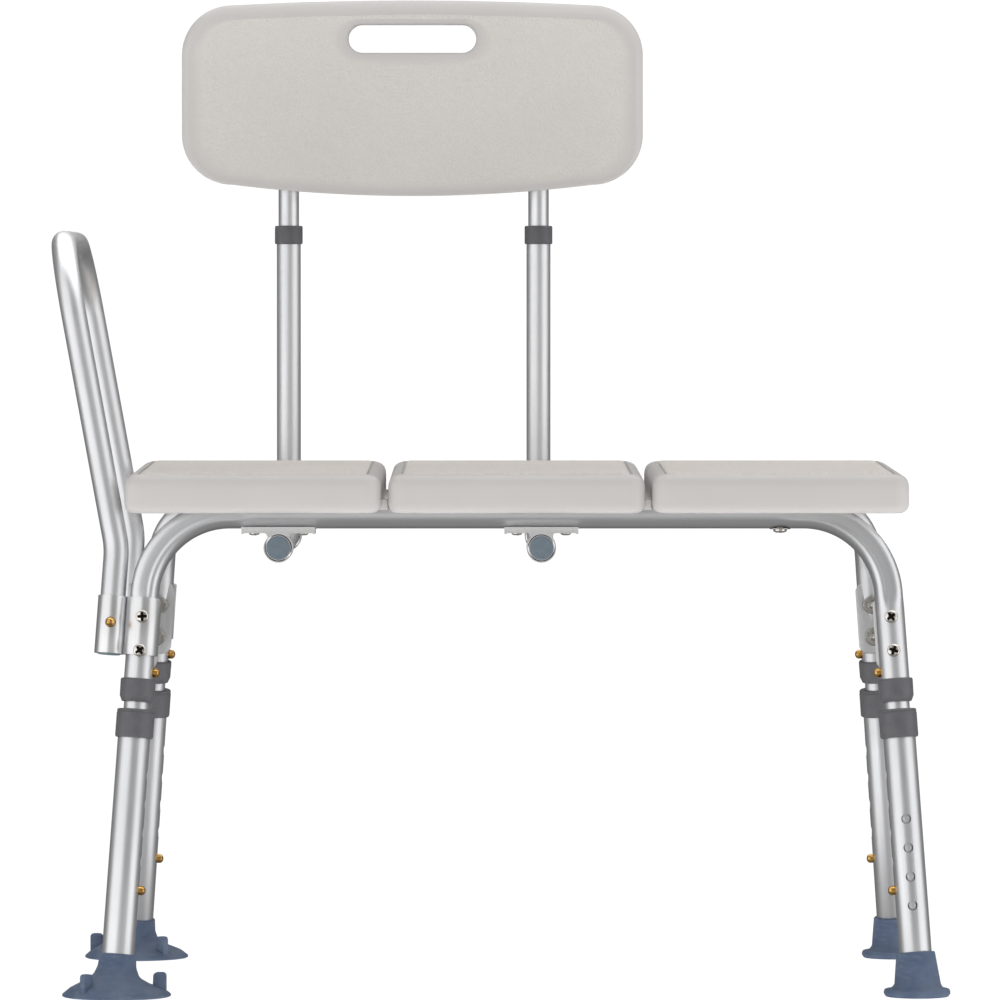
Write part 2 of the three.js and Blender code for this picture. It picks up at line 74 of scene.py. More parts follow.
FRAME_TUBE = {"radius": 12.7, "wall": 0.8, "front_bend": 75.0, "rear_bend": 50.0}
CRUSH = {"lobe": 5.0, "lobe_x": 7.7, "lobe_y": 12.4, "flat": -1.3, "flat_x": 11.0, "flat_y": 11.9,
         "crease": 77.0, "rail_fade": 24.0, "leg_fade": 15.0}
INNER_LEG = {"radius": 11.1, "wall": 1.2}
LOWER_LEG = {"radius": 14.3, "wall": 1.4}
ARM_TUBE = {"radius": 11.1, "wall": 1.1, "bend": 70.0, "spacing": 27.6, "bend_height": 391.0,
            "bend_depth": 176.0, "lean": 0.183, "foot_lean": 0.12}
ARM_BRACKET = {"sleeve": 12.9, "shell": 15.6, "bore": 11.3, "leg_bore": 12.95, "near": 2.6, "web": 3.4}
BACK_TUBE = {"radius": 11.1, "wall": 1.1, "bend": 45.0}
UPPER_TUBE = {"radius": 9.5, "wall": 1.3}
BRACKET = {"ring": 13.0, "bore": 11.9, "thickness": 5.4, "neck": 9.2, "shoulder": 11.2, "lip": 0.9,
           "screw": 21.5}
BRACE = {"middle": 316.0, "height": 64.0, "thickness": 3.0, "flange": 27.0, "overhang": 12.4, "corner": 6.0,
         "bend": 4.5, "gap": 0.35}
BUTTON = {"radius": 4.1, "stand": 5.8, "rim": 1.2, "dome": 3.4, "inset": 2.4}
COLLAR_RADIUS = {"frame": 15.4, "leg": 16.3}
BUTTON_HEIGHTS = {"release": 283.7, "height": 93.5, "arm": 324.5, "back": 642.0}
HOLE_RADIUS = 4.7
HOLE_PITCH = 25.4
HOLE_COUNT = 5
FRONT_HOLES = {"first": 71.8, "count": 4, "radius": 4.3}  # round marks on the front of the right front leg
LEG_SCREW_HEIGHTS = {"upper": 331.0, "lower": 301.5}
BACK_SCREW_HEIGHTS = (735.0, 792.0)
SEAT_SCREW_INSET = 113.0  # from the seat's right-hand end
FOOT_PIVOT = 20.0  # the height at which a foot's own axis meets the leg's
PLUG = {"head": 10.8, "lean": 0.13}  # the radius of its head, and the sine of its lean
SCREW_SINK = 1.6  # how far a screw's head goes on below its seat, so that its recess has a floor


# ---- Mesh making ----

def closed_mesh(points, faces, layers=None, bevel=0.0):
    """A mesh with doubled vertices merged, faces turned outwards and, with a bevel, its sharp edges bevelled.
    Layers are named lists with one value for each point, kept as mesh attributes."""
    mesh = bpy.data.meshes.new("piece")
    mesh.from_pydata(points, [], faces)
    for name, values in (layers or {}).items():
        if hasattr(values[0], "x"):
            layer = mesh.attributes.new(name, "FLOAT_VECTOR", "POINT")
            layer.data.foreach_set("vector", [part for value in values for part in value])
        else:
            mesh.attributes.new(name, "FLOAT", "POINT").data.foreach_set("value", values)
    bm = bmesh.new()
    bm.from_mesh(mesh)
    if bevel:
        bmesh.ops.recalc_face_normals(bm, faces=bm.faces)
        soften(bm, bevel)
    bmesh.ops.remove_doubles(bm, verts=bm.verts, dist=1e-4)
    bmesh.ops.recalc_face_normals(bm, faces=bm.faces)
    bm.to_mesh(mesh)
    bm.free()
    return mesh


def loft(rings, loop=False, layers=None):
    """Skins closed rings of points. A loop joins the last ring to the first, or else the ends are capped."""
    count = len(rings[0])
    faces = []
    for i in range(len(rings) if loop else len(rings) - 1):
        a = i * count
        b = (i + 1) % len(rings) * count
        for j in range(count):
            k = (j + 1) % count
            faces.append((a + j, a + k, b + k, b + j))
    if not loop:
        faces.append(tuple(range(count)))
        faces.append(tuple(range((len(rings) - 1) * count, len(rings) * count)))
    return closed_mesh([point for ring in rings for point in ring], faces, layers)


def rounded(corners, closed=False, steps=5):
    """Replaces each (x, y, radius) corner of a path by an arc. A corner without a radius stays sharp."""
    path = []
    count = len(corners)
    for i, (x, y, *rest) in enumerate(corners):
        here = Vector((x, y))
        radius = rest[0] if rest else 0
        if not radius or (not closed and i in (0, count - 1)):
            path.append((x, y))
            continue
        before = Vector(corners[i - 1][:2]) - here
        after = Vector(corners[(i + 1) % count][:2]) - here
        half = before.angle(after) / 2
        reach = min(radius / math.tan(half), before.length * 0.499, after.length * 0.499)
        start = here + before.normalized() * reach
        middle = (before.normalized() + after.normalized()).normalized()
        centre = here + middle * (reach * math.tan(half) / math.sin(half))
        arm = start - centre
        turn = math.pi - 2 * half
        if before.x * after.y - before.y * after.x > 0:
            turn = -turn
        path += [tuple(centre + Matrix.Rotation(turn * step / steps, 2) @ arm) for step in range(steps + 1)]
    return path


def arc(radius, start, end, steps, centre=(0.0, 0.0)):
    """Points of an arc, angles in degrees."""
    points = []
    for step in range(steps + 1):
        angle = math.radians(start + (end - start) * step / steps)
        points.append((centre[0] + radius * math.cos(angle), centre[1] + radius * math.sin(angle)))
    return points


def turned(profile, segments=64, loop=False):
    """Turns (radius, height) points round Z. A loop makes a ring with a hole through it."""
    angles = [2 * math.pi * i / segments for i in range(segments)]
    return loft([[Vector((r * math.cos(a), r * math.sin(a), z)) for a in angles] for r, z in profile], loop)


def domed(radius, height, base, angles):
    """Profile points of a dome above a base, at the given angles in radians."""
    return [(radius * math.cos(angle), base + height * math.sin(angle)) for angle in angles]


def pipe(outer, inner, low, high, segments=64, lip=0.3):
    corners = [(outer, low, lip), (outer, high, lip), (inner, high, lip), (inner, low, lip)]
    return turned(rounded(corners, closed=True, steps=2), segments, loop=True)


def rod(radius, low, high, segments=32):
    return turned([(0, low), (radius, low), (radius, high), (0, high)], segments)


def extruded(outline, low, high, holes=(), bevel=0.0):
    """A plate between two heights, from an outline and holes, with its sharp edges bevelled."""
    flat = bmesh.new()
    loops = [[flat.verts.new((x, y, 0)) for x, y in loop] for loop in (outline, *holes)]
    edges = [flat.edges.new((loop[i - 1], loop[i])) for loop in loops for i in range(len(loop))]
    bmesh.ops.triangle_fill(flat, edges=edges, use_beauty=True)
    flat.verts.index_update()
    count = len(flat.verts)
    points = [(v.co.x, v.co.y, low) for v in flat.verts] + [(v.co.x, v.co.y, high) for v in flat.verts]
    faces = []
    for face in flat.faces:
        corners = [v.index for v in face.verts]
        faces += [corners[::-1], [corner + count for corner in corners]]
    for loop in loops:
        for i in range(len(loop)):
            a, b = loop[i - 1].index, loop[i].index
            faces.append((a, b, b + count, a + count))
    flat.free()
    return closed_mesh(points, faces, bevel=bevel)


def soften(bm, width, degrees=40):
    """Bevels every edge sharper than the given angle."""
    sharp = [e for e in bm.edges if e.is_manifold and e.calc_face_angle() > math.radians(degrees)]
    bmesh.ops.bevel(bm, geom=sharp, offset=width, segments=2, profile=0.5, affect="EDGES", clamp_overlap=True)


def moved(mesh, matrix):
    mesh.transform(matrix)
    if matrix.determinant() < 0:
        mesh.flip_normals()
    return mesh


def hole(place, low, high, radius=HOLE_RADIUS):
    """A cutter for a round hole along a place's local Z."""
    return moved(rod(radius, low, high), place)


def linked(name, data):
    """A new object in the scene."""
    obj = bpy.data.objects.new(name, data)
    bpy.context.scene.collection.objects.link(obj)
    return obj


def combined(mesh, tools, operation="DIFFERENCE"):
    """Cuts the tools away from a mesh, or joins them to it."""
    objects = [linked("solid", data) for data in (mesh, *tools)]
    for tool in objects[1:]:
        modifier = objects[0].modifiers.new("cut", "BOOLEAN")
        modifier.object = tool
        modifier.operation = operation
        modifier.solver = "EXACT"
    graph = bpy.context.evaluated_depsgraph_get()
    result = bpy.data.meshes.new_from_object(objects[0].evaluated_get(graph))
    for obj in objects:
        data = obj.data
        bpy.data.objects.remove(obj)
        bpy.data.meshes.remove(data)
    return result


def add_piece(name, mesh, body, look, nodes=(), place=None, sharp=32):
    """Adds a mesh in millimetres as a piece on a CAD body, in place of the CAD nodes it stands for."""
    mesh.transform(Matrix.Scale(MM, 4))
    mesh.name = name
    mesh.shade_smooth()
    mesh.set_sharp_from_angle(angle=math.radians(sharp))
    mesh.materials.clear()
    mesh.materials.append(look.material)
    obj = linked(name, mesh)
    if place is not None:
        matrix = place.copy()
        matrix.translation = place.translation * MM
        obj.matrix_world = matrix
    if nodes:
        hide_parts(*nodes)
    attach(obj, body)
    return obj


def basis(x, y, z, point):
    """A placing matrix with the given axes, at a point."""
    matrix = Matrix((x, y, z)).transposed().to_4x4()
    matrix.translation = point
    return matrix


def aimed(point, direction, about=Z):
    """A placing matrix at a point, whose local Z runs along the direction."""
    z = direction.normalized()
    x = about.cross(z) if about.cross(z).length > 0.05 else Y.cross(z)
    x.normalize()
    return basis(x, z.cross(x), z, point)


# ---- Materials ----

class Nodes:
    """Makes nodes in a tree. A value may be a number, a colour or another node's output."""

    def __init__(self, tree):
        self.tree = tree

    def node(self, kind, inputs=None, **settings):
        made = self.tree.nodes.new("ShaderNode" + kind)
        for key, value in settings.items():
            setattr(made, key, value)
        for key, value in (inputs or {}).items():
            self.join(value, made.inputs[key])
        return made

    def join(self, value, socket):
        if isinstance(value, bpy.types.NodeSocket):
            self.tree.links.new(value, socket)
        else:
            socket.default_value = value

    def ranged(self, value, low, high, to_low=0.0, to_high=1.0):
        inputs = {"Value": value, "From Min": low, "From Max": high, "To Min": to_low, "To Max": to_high}
        return self.node("MapRange", inputs).outputs["Result"]

    def math(self, operation, a, b):
        return self.node("Math", {0: a, 1: b}, operation=operation).outputs[0]

    def times(self, a, b):
        return self.math("MULTIPLY", a, b)

    def plus(self, a, b):
        return self.math("ADD", a, b)


class Look(Nodes):
    """A node material under construction, and the record slot it belongs to."""

    def __init__(self, slot, name, coordinates="object"):
        self.slot = slot
        self.material = bpy.data.materials.new(name)
        self.material.use_nodes = True
        super().__init__(self.material.node_tree)
        self.shader = self.tree.nodes["Principled BSDF"]
        if coordinates == "object":
            self.place = self.node("TexCoord").outputs["Object"]
        else:
            self.place = self.node("Attribute", attribute_name=coordinates).outputs["Vector"]

    def set(self, **values):
        """Sets shader inputs; an underscore stands for a space."""
        for key, value in values.items():
            self.join(value, self.shader.inputs[key.replace("_", " ")])
        return self

    def stretched(self, x, y, z):
        return self.node("Mapping", {"Vector": self.place, "Scale": (x, y, z)}).outputs["Vector"]

    def noise(self, scale, detail=3.0, rough=0.5, place=None):
        inputs = {"Vector": place or self.place, "Scale": scale, "Detail": detail, "Roughness": rough}
        return self.node("TexNoise", inputs).outputs["Fac"]

    def cells(self, scale, smoothness):
        inputs = {"Vector": self.place, "Scale": scale, "Smoothness": smoothness}
        return self.node("TexVoronoi", inputs, feature="SMOOTH_F1").outputs["Distance"]

    def mix(self, factor, first, second):
        colours = [c if isinstance(c, bpy.types.NodeSocket) else (*c, 1) for c in (first, second)]
        inputs = {"Fac": factor, "Color1": colours[0], "Color2": colours[1]}
        return self.node("MixRGB", inputs).outputs["Color"]

    def clouded(self, scale, detail, first, second):
        """A soft mixture of two colours."""
        return self.mix(self.ranged(self.noise(scale, detail), 0.3, 0.7), first, second)

    def bump(self, height, distance, strength=1.0, under=None):
        inputs = {"Height": height, "Distance": distance * MM, "Strength": strength}
        if under:
            inputs["Normal"] = under
        return self.node("Bump", inputs).outputs["Normal"]

    def mask(self, name):
        return self.node("Attribute", attribute_name=name).outputs["Fac"]


def panel_look():
    """Blow-moulded off-white plastic. A zone mask is 0 on borders without grain, 1 where the face has a pebble
    grain, and 2 on the seat's top, which also has a linen mottle. The zone also paints light: the colour goes
    from darker at 0 to much lighter at 2, so the seat's front and borders carry painted shade and its top
    painted light, for how light falls on them. The grain, the mottle and the top's creamier tone are the
    plastic's own."""
    look = Look("panel_plastic", "panel_plastic")
    zone = look.mask("grain_and_painted_light_zone")
    dark = (0.36, 0.33, 0.30)
    # Painted light: one plastic in two brightnesses, darker where the zone is 0 and much lighter where it is
    # 2, for how light falls on fronts and tops.
    smooth_with_painted_shade = look.clouded(9, 3, (0.470, 0.455, 0.444), (0.493, 0.478, 0.467))
    grained_with_painted_light = look.clouded(9, 3, (0.640, 0.604, 0.570), (0.670, 0.634, 0.598))
    colour = look.mix(look.times(zone, 0.5), smooth_with_painted_shade, grained_with_painted_light)
    speckle = look.ranged(look.noise(620, 2, 0.6), 0.42, 0.62)
    colour = look.mix(look.times(speckle, look.plus(0.04, look.times(zone, 0.09))), colour, dark)
    linen = look.ranged(look.noise(230, 3, 0.65), 0.40, 0.64)
    colour = look.mix(look.times(linen, look.ranged(zone, 1.0, 2.0, 0.0, 0.26)), colour, dark)
    pebble = look.ranged(look.cells(560, 0.6), 0.15, 0.75, 1.0, 0.0)
    weave = look.times(look.noise(1500, 2, 0.6), 0.5)
    fine = look.bump(look.noise(420, 4, 0.55), 0.05, 0.35)
    normal = look.bump(look.times(look.plus(pebble, weave), zone), 0.45, 0.9, fine)
    rough = look.plus(look.ranged(look.noise(60, 4), 0.3, 0.7, 0.36, 0.46), look.times(zone, 0.14))
    return look.set(Base_Color=colour, Roughness=rough, Normal=normal, IOR=1.49)


def metal_look(slot, name, tint, rough, coordinates="object", lines=0.5):
    """Satin anodised aluminium with draw lines along the local Z of its coordinates. The attribute `grain`
    holds millimetres, and object coordinates are metres."""
    look = Look(slot, name, coordinates)
    unit = 1.0 if coordinates == "object" else MM
    along = look.stretched(unit, unit, unit * 0.012)
    drawn = look.noise(1900, 2, 0.6, along)
    bands = look.noise(420, 2, 0.5, along)
    clouds = look.noise(14 * unit, 4)
    grit = look.noise(2600, 2, 0.5, look.stretched(unit, unit, unit))
    shade = look.mix(look.ranged(bands, 0.3, 0.7), tint, [0.93 * part for part in tint])
    shade = look.mix(look.ranged(clouds, 0.35, 0.75, 0.0, 0.35), shade, [0.88 * part for part in tint])
    uneven = look.ranged(clouds, 0.3, 0.7, rough - 0.03, rough + 0.03)
    texture = look.plus(look.ranged(drawn, 0.3, 0.7, -0.035, 0.035), uneven)
    normal = look.bump(look.plus(look.times(drawn, lines), look.times(grit, 0.6)), 0.012, 0.5)
    return look.set(Base_Color=shade, Metallic=1.0, Roughness=texture, Normal=normal)


def collar_look():
    look = Look("collar_plastic", "collar_plastic")
    colour = look.clouded(120, 4, (0.084, 0.084, 0.093), (0.101, 0.101, 0.110))
    rough = look.ranged(look.noise(120, 4), 0.3, 0.7, 0.36, 0.46)
    normal = look.bump(look.noise(1300, 3, 0.55), 0.03, 0.5)
    return look.set(Base_Color=colour, Roughness=rough, Normal=normal)


def rubber_look():
    """Slate-blue rubber with a dusty bloom in patches and streaks, and fine scuffs."""
    look = Look("foot_rubber", "foot_rubber")
    bloom = look.ranged(look.noise(38, 6, 0.65), 0.42, 0.72)
    streaks = look.ranged(look.noise(60, 5, 0.7, look.stretched(1, 1, 5)), 0.48, 0.75)
    dust = look.math("MAXIMUM", look.times(bloom, 0.7), look.times(streaks, 0.8))
    deep = look.clouded(20, 3, (0.052, 0.080, 0.145), (0.072, 0.106, 0.178))
    colour = look.mix(dust, deep, (0.130, 0.166, 0.222))
    scuffs = look.ranged(look.noise(500, 2, 0.6, look.stretched(1, 1, 8)), 0.64, 0.74)
    colour = look.mix(look.times(scuffs, 0.35), colour, (0.20, 0.22, 0.24))
    normal = look.bump(look.noise(700, 5, 0.6), 0.12, 0.5)
    normal = look.bump(look.noise(110, 3), 0.25, 0.4, normal)
    return look.set(Base_Color=colour, Roughness=look.ranged(dust, 0, 1, 0.62, 0.86), Normal=normal)


def cap_look():
    look = Look("cap_plastic", "cap_plastic")
    colour = look.clouded(160, 4, (0.098, 0.130, 0.158), (0.122, 0.158, 0.186))
    return look.set(Base_Color=colour, Roughness=0.55, Normal=look.bump(look.noise(1500, 3, 0.55), 0.05, 0.6))


def plated_look(slot, name, bright, dull, rough, painted_shade_zone=None):
    """A plated metal with patches of tarnish and fine handling marks. The optional pair gives painted shade:
    the height below which a screw's recess and sunk core are painted near-black, and the radius that it lies
    within."""
    look = Look(slot, name)
    tarnish = look.ranged(look.noise(260, 4, 0.6), 0.4, 0.72)
    colour = look.mix(tarnish, bright, dull)
    if painted_shade_zone:
        # Painted shade: below this height and within this radius, in the cross recess and round the sunk core,
        # the colour goes near-black for the shade that falls there.
        height = look.node("SeparateXYZ", {"Vector": look.place}).outputs["Z"]
        low = look.ranged(height, (painted_shade_zone[0] - 0.3) * MM, painted_shade_zone[0] * MM, 1.0, 0.0)
        level = {"Vector": look.stretched(1, 1, 0)}
        radius = look.node("VectorMath", level, operation="LENGTH").outputs["Value"]
        painted_shade_mask = look.times(low, look.math("LESS_THAN", radius, painted_shade_zone[1] * MM))
        colour = look.mix(painted_shade_mask, colour, (0.030, 0.024, 0.019))
    marks = look.noise(1600, 2, 0.6, look.stretched(1, 6, 1))
    texture = look.ranged(tarnish, 0, 1, rough, rough + 0.16)
    return look.set(Base_Color=colour, Metallic=1.0, Roughness=texture, Normal=look.bump(marks, 0.02, 0.35))


PANEL = panel_look()
TUBE = metal_look("satin_aluminium", "drawn_aluminium", (0.845, 0.855, 0.875), 0.38)
BENT_TUBE = metal_look("satin_aluminium", "bent_aluminium", (0.845, 0.855, 0.875), 0.40, "grain")
EXTRUSION = metal_look("satin_aluminium", "extruded_aluminium", (0.86, 0.865, 0.875), 0.32, lines=0.9)
COLLAR = collar_look()
RUBBER = rubber_look()
CAP = cap_look()
SAWN = metal_look("satin_aluminium", "sawn_aluminium", (0.93, 0.93, 0.93), 0.72, lines=0.3)
BRASS = plated_look("button_brass", "button_brass", (0.78, 0.47, 0.14), (0.42, 0.20, 0.05), 0.14)
NICKEL = plated_look("fastener_steel", "nickel_plate", (0.60, 0.58, 0.55), (0.36, 0.34, 0.31), 0.16)
# Its last pair paints shade into the recess: near-black below 1.9 mm and within 4.1 mm of the axis.
SCREW = plated_look("fastener_steel", "screw_plate", (0.80, 0.77, 0.73), (0.55, 0.51, 0.46), 0.12, (1.9, 4.1))


# ---- Legs' axes ----

class Leg:
    """A leg's axis: `up` runs along it, and `inward` is square to it, towards the bench's middle."""

    def __init__(self, end, side):
        self.place = f"{end}_{side}"
        self.end = ENDS[end]
        self.side = SIDES[side]
        self.up = -Vector(JOINTS[f"height_{self.place}"]["axis"]).normalized()
        self.inward = -Vector(JOINTS[f"press_height_{self.place}"]["axis"]).normalized()
        self.across = self.up.cross(self.inward)
        self.outer = self.across * (-self.end * self.side)  # towards the front on a front leg
        low, high = box(f"lower_leg_{self.place}")
        self.middle = (low + high) / 2

    def at(self, height):
        return self.middle + self.up * ((height - self.middle.z) / self.up.z)

    def matrix(self, height):
        """Local Z up the leg, local X inwards."""
        return basis(self.inward, self.across, self.up, self.at(height))

    def catch(self, button):
        """The place of a button or its hole, local Z inwards."""
        return aimed(self.at(BUTTON_HEIGHTS[button]), self.inward, self.up)

    def run(self, node, radius):
        """The heights at which a tube's axis starts and ends, from its box."""
        low, high = box(node)
        slack = radius * math.sqrt(1 - self.up.z ** 2)
        return low.z + slack, high.z - slack


LEGS = {f"{end}_{side}": Leg(end, side) for end in ENDS for side in SIDES}


# ---- Tubes along a bent path ----

def bent_path(corners, radius, spacing=5.0, arc_step=3.0):
    """Stations (point, tangent, distance) along straight runs joined by arcs, and each arc's distances."""
    stations = []
    arcs = []
    start = corners[0]
    distance = 0.0

    def straight(a, b):
        nonlocal distance
        tangent = (b - a).normalized()
        count = max(1, round((b - a).length / spacing))
        for i in range(count + 1):
            stations.append((a.lerp(b, i / count), tangent, distance + (b - a).length * i / count))
        distance += (b - a).length

    for i in range(1, len(corners) - 1):
        before = (corners[i] - corners[i - 1]).normalized()
        after = (corners[i + 1] - corners[i]).normalized()
        angle = before.angle(after)
        reach = radius * math.tan(angle / 2)
        axis = before.cross(after).normalized()
        arc_start = corners[i] - before * reach
        centre = arc_start + axis.cross(before) * radius
        straight(start, arc_start)
        steps = max(3, round(math.degrees(angle) / arc_step))
        for step in range(1, steps):
            turn = Matrix.Rotation(angle * step / steps, 3, axis)
            point = centre + turn @ (arc_start - centre)
            stations.append((point, turn @ before, distance + radius * angle * step / steps))
        arcs.append((distance, distance + radius * angle))
        distance += radius * angle
        start = corners[i] + after * reach
    straight(start, corners[-1])
    return stations, arcs


def swept_tube(stations, outs, radius, wall, section=None):
    """A hollow tube along stations. `outs` are directions square to the path. A section gives the ring of
    (out, across) points at a distance, and otherwise the tube is round. Without a wall it is solid."""
    circle = arc(1.0, 0, 360, 72)[:-1]
    skin, grain = [], []

    def add_layer(path, scale):
        for (point, tangent, distance), out in path:
            across = tangent.cross(out)
            shape = section(distance) if section else [(radius * x, radius * y) for x, y in circle]
            skin.append([point + out * x * scale + across * y * scale for x, y in shape])
            grain.extend(Vector((radius * x, radius * y, distance)) for x, y in circle)

    path = list(zip(stations, outs))
    add_layer(path, 1.0)
    if wall:
        add_layer(path[::-1], (radius - wall) / radius)
    return loft(skin, bool(wall), {"grain": grain})


def carried(stations, first):
    """Directions square to the path, carried along it without twist."""
    outs = []
    out = first
    for _, tangent, _ in stations:
        out = (out - tangent * out.dot(tangent)).normalized()
        outs.append(out)
    return outs


def smooth_step(value, low, high):
    share = min(1.0, max(0.0, (value - low) / (high - low)))
    return share * share * (3 - 2 * share)


# ---- Frames ----

def crushed_section(amount):
    """A round section pressed, in a bend, to two overlapping ovals: a bead outside and a flat band inside."""
    radius = FRAME_TUBE["radius"]
    points = []
    crease = CRUSH["crease"]
    angles = [crease * i / 18 for i in range(18)] + [crease + (180 - crease) * i / 18 for i in range(19)]
    angles += [360 - angle for angle in reversed(angles[1:-1])]
    for angle in angles:
        x, y = math.cos(math.radians(angle)), math.sin(math.radians(angle))
        reach = max(
            oval_reach(x, y, CRUSH["lobe"], CRUSH["lobe_x"], CRUSH["lobe_y"], 2.0),
            oval_reach(x, y, CRUSH["flat"], CRUSH["flat_x"], CRUSH["flat_y"], 3.2),
        )
        reach = radius + (reach - radius) * amount
        points.append((reach * x, reach * y))
    return points


def oval_reach(x, y, centre, half_x, half_y, power):
    """Distance from the origin, along (x, y), to the far side of an oval centred on the x axis."""
    low, high = 0.0, 20.0
    for _ in range(30):
        middle = (low + high) / 2
        inside = (abs(middle * x - centre) / half_x) ** power + (abs(middle * y) / half_y) ** power < 1
        low, high = (middle, high) if inside else (low, middle)
    return low


def frame_path(end):
    low, high = box(f"{end}_frame")
    rail = high.z - FRAME_TUBE["radius"]
    left, right = LEGS[f"{end}_left"], LEGS[f"{end}_right"]
    foot = left.run(f"{end}_frame", FRAME_TUBE["radius"])[0]
    corners = [left.at(foot), left.at(rail), right.at(rail), right.at(foot)]
    return bent_path(corners, FRAME_TUBE[f"{end}_bend"])


def frame_outs(stations, end):
    """Directions in the frame's own plane, away from the inside of its bends."""
    normal = LEGS[f"{end}_left"].up.cross(X).normalized()
    return [normal.cross(tangent).normalized() for _, tangent, _ in stations]


def make_frame(end):
    stations, arcs = frame_path(end)
    outs = frame_outs(stations, end)
    sections = {}

    def amount(distance):
        """How far the tube is crushed: fully in a bend, and less and less in the straight run after it."""
        fades = (CRUSH["leg_fade"], CRUSH["rail_fade"])
        shares = []
        for (start, stop), (fade_in, fade_out) in zip(arcs, (fades, fades[::-1])):
            before = smooth_step(distance, start - fade_in, start)
            shares.append(before * (1 - smooth_step(distance, stop, stop + fade_out)))
        return max(shares)

    def section(distance):
        key = round(amount(distance), 3)
        if key not in sections:
            sections[key] = crushed_section(key)
        return sections[key]

    tube = swept_tube(stations, outs, FRAME_TUBE["radius"], FRAME_TUBE["wall"], section)
    tools = [hole(LEGS[f"{end}_{side}"].catch("release"), 6, 18) for side in SIDES]
    add_piece(f"{end}_frame_tube", combined(tube, tools), "bench", BENT_TUBE, [f"{end}_frame"])


def frame_groove(end, clearance=0.4):
    """A cutter for the groove that a frame lies in."""
    stations, _ = frame_path(end)
    return swept_tube(stations, frame_outs(stations, end), FRAME_TUBE["radius"] + clearance, 0)


for end_name in ENDS:
    make_frame(end_name)


# ---- Seat panels ----

SEAT_EDGE = [  # (inset from the outline, height above the underside, zone of grain and painted light)
    (30.0, 0.0, 0), (9.0, 0.0, 0), (6.0, 0.35, 0), (3.2, 1.6, 0), (1.2, 3.8, 0), (0.2, 6.8, 0),
    (0.0, 10.0, 0), (0.0, 17.0, 0), (0.0, 22.5, 0), (0.35, 26.0, 0), (1.5, 29.2, 0), (3.4, 31.5, 0),
    (6.0, 33.0, 0), (8.4, 33.7, 0), (9.2, 34.0, 0), (10.0, 34.3, 0), (10.8, 34.2, 0), (11.4, 33.2, 0),
    (12.0, 32.4, 0), (12.8, 32.5, 0.2), (13.4, 34.0, 2), (14.4, 34.7, 2), (16.2, 35.0, 2),
]
SEAT_CORNER = 14.0
SEAT_RISE = 4.0  # how far the top rises from the front edge to the rear edge
LUG = {"from_middle": 172.0, "overlap": 0.5, "height": 3.0, "thickness": 9.0}


def rectangle_ring(half_x, half_y, radius, steps=8, side_steps=24):
    """A rounded rectangle round the origin, with points along its straight sides too."""
    radius = max(radius, 0.5)
    corners = []
    for sign_x, sign_y, start in ((1, 1, 0), (-1, 1, 90), (-1, -1, 180), (1, -1, 270)):
        centre = (sign_x * (half_x - radius), sign_y * (half_y - radius))
        corners.append(arc(radius, start, start + 90, steps, centre))
    points = []
    for i, corner in enumerate(corners):
        (x0, y0), (x1, y1) = corner[-1], corners[(i + 1) % 4][0]
        shares = [k / side_steps for k in range(1, side_steps)]
        points += corner + [(x0 + (x1 - x0) * share, y0 + (y1 - y0) * share) for share in shares]
    return points


def make_seat_panel(name):
    node = f"seat_panel_{name}"
    low, high = box(node)
    width = box("seat_panel_right")[1].x - box("seat_panel_right")[0].x
    centre = Vector((low.x + width / 2, (low.y + high.y) / 2, low.z))
    half_x, half_y = width / 2, (high.y - low.y) / 2
    rings, zones = [], []

    def add_ring(ring, height, zone):
        upper = smooth_step(height, 10.0, 24.0)
        rise = [SEAT_RISE * upper * (y + half_y) / (2 * half_y) for _, y in ring]
        rings.append([centre + Vector((x, y, height + lift)) for (x, y), lift in zip(ring, rise)])
        zones.extend([float(zone)] * len(ring))

    for inset, height, zone in SEAT_EDGE:
        add_ring(rectangle_ring(half_x - inset, half_y - inset, SEAT_CORNER - inset * 0.8), height, zone)
    for share in (0.75, 0.5, 0.25, 0.02):
        inset = SEAT_EDGE[-1][0]
        add_ring(rectangle_ring((half_x - inset) * share, (half_y - inset) * share, 1.5 * share), 35.0, 2)
    shell = loft(rings, layers={"grain_and_painted_light_zone": zones})
    grooves = [frame_groove(end) for end in ENDS]
    add_piece(f"{node}_shell", combined(shell, grooves), "bench", PANEL, [node])
    if name == "right":
        return
    outline = rounded([(-3, -15, 1.5), (6.1, -15, 1.5), (6.1, 15, 1.5), (-3, 15, 1.5)], closed=True)
    for end_name, end in ENDS.items():
        lug = extruded(outline, 0, LUG["thickness"], bevel=0.8)
        offset = Vector((half_x - LUG["overlap"], end * LUG["from_middle"], LUG["height"]))
        place = Matrix.Translation(centre + offset)
        add_piece(f"{node}_lug_{end_name}", lug, "bench", PANEL, place=place)


for panel in ("left", "middle", "right"):
    make_seat_panel(panel)


# ---- Collars, legs and buttons ----

def button_mesh(base, tip):
    """A domed brass button along Z, from its seat inside the tube to its tip."""
    radius, rim, depth = BUTTON["radius"], BUTTON["radius"] + BUTTON["rim"], BUTTON["dome"]
    dome = domed(radius, depth, tip - depth, (0.1, 0.3, 0.5, 0.75, 1.0, 1.25, 1.45))
    profile = [(0, base), (rim, base), (rim, base + 0.8), (radius, base + 0.8), (radius, tip - depth - 0.2)]
    return turned([*profile, *dome, (0, tip)], 40)


def leaf_mesh(root):
    """The bent leaf spring that a button is riveted to. Local X is towards the button, Z along the tube."""
    near = root - 0.7
    outer = rounded([(root, -5), (root, 24, 6), (0, 33, 5), (-root, 22, 6), (-root, 3)])
    inner = rounded([(-near, 3), (-near, 22, 5.4), (0, 32.2, 4.4), (near, 24, 5.4), (near, -5)])
    strip = extruded(outer + inner, -3, 3, bevel=0.12)
    return moved(strip, Matrix.Rotation(math.pi / 2, 4, "X"))


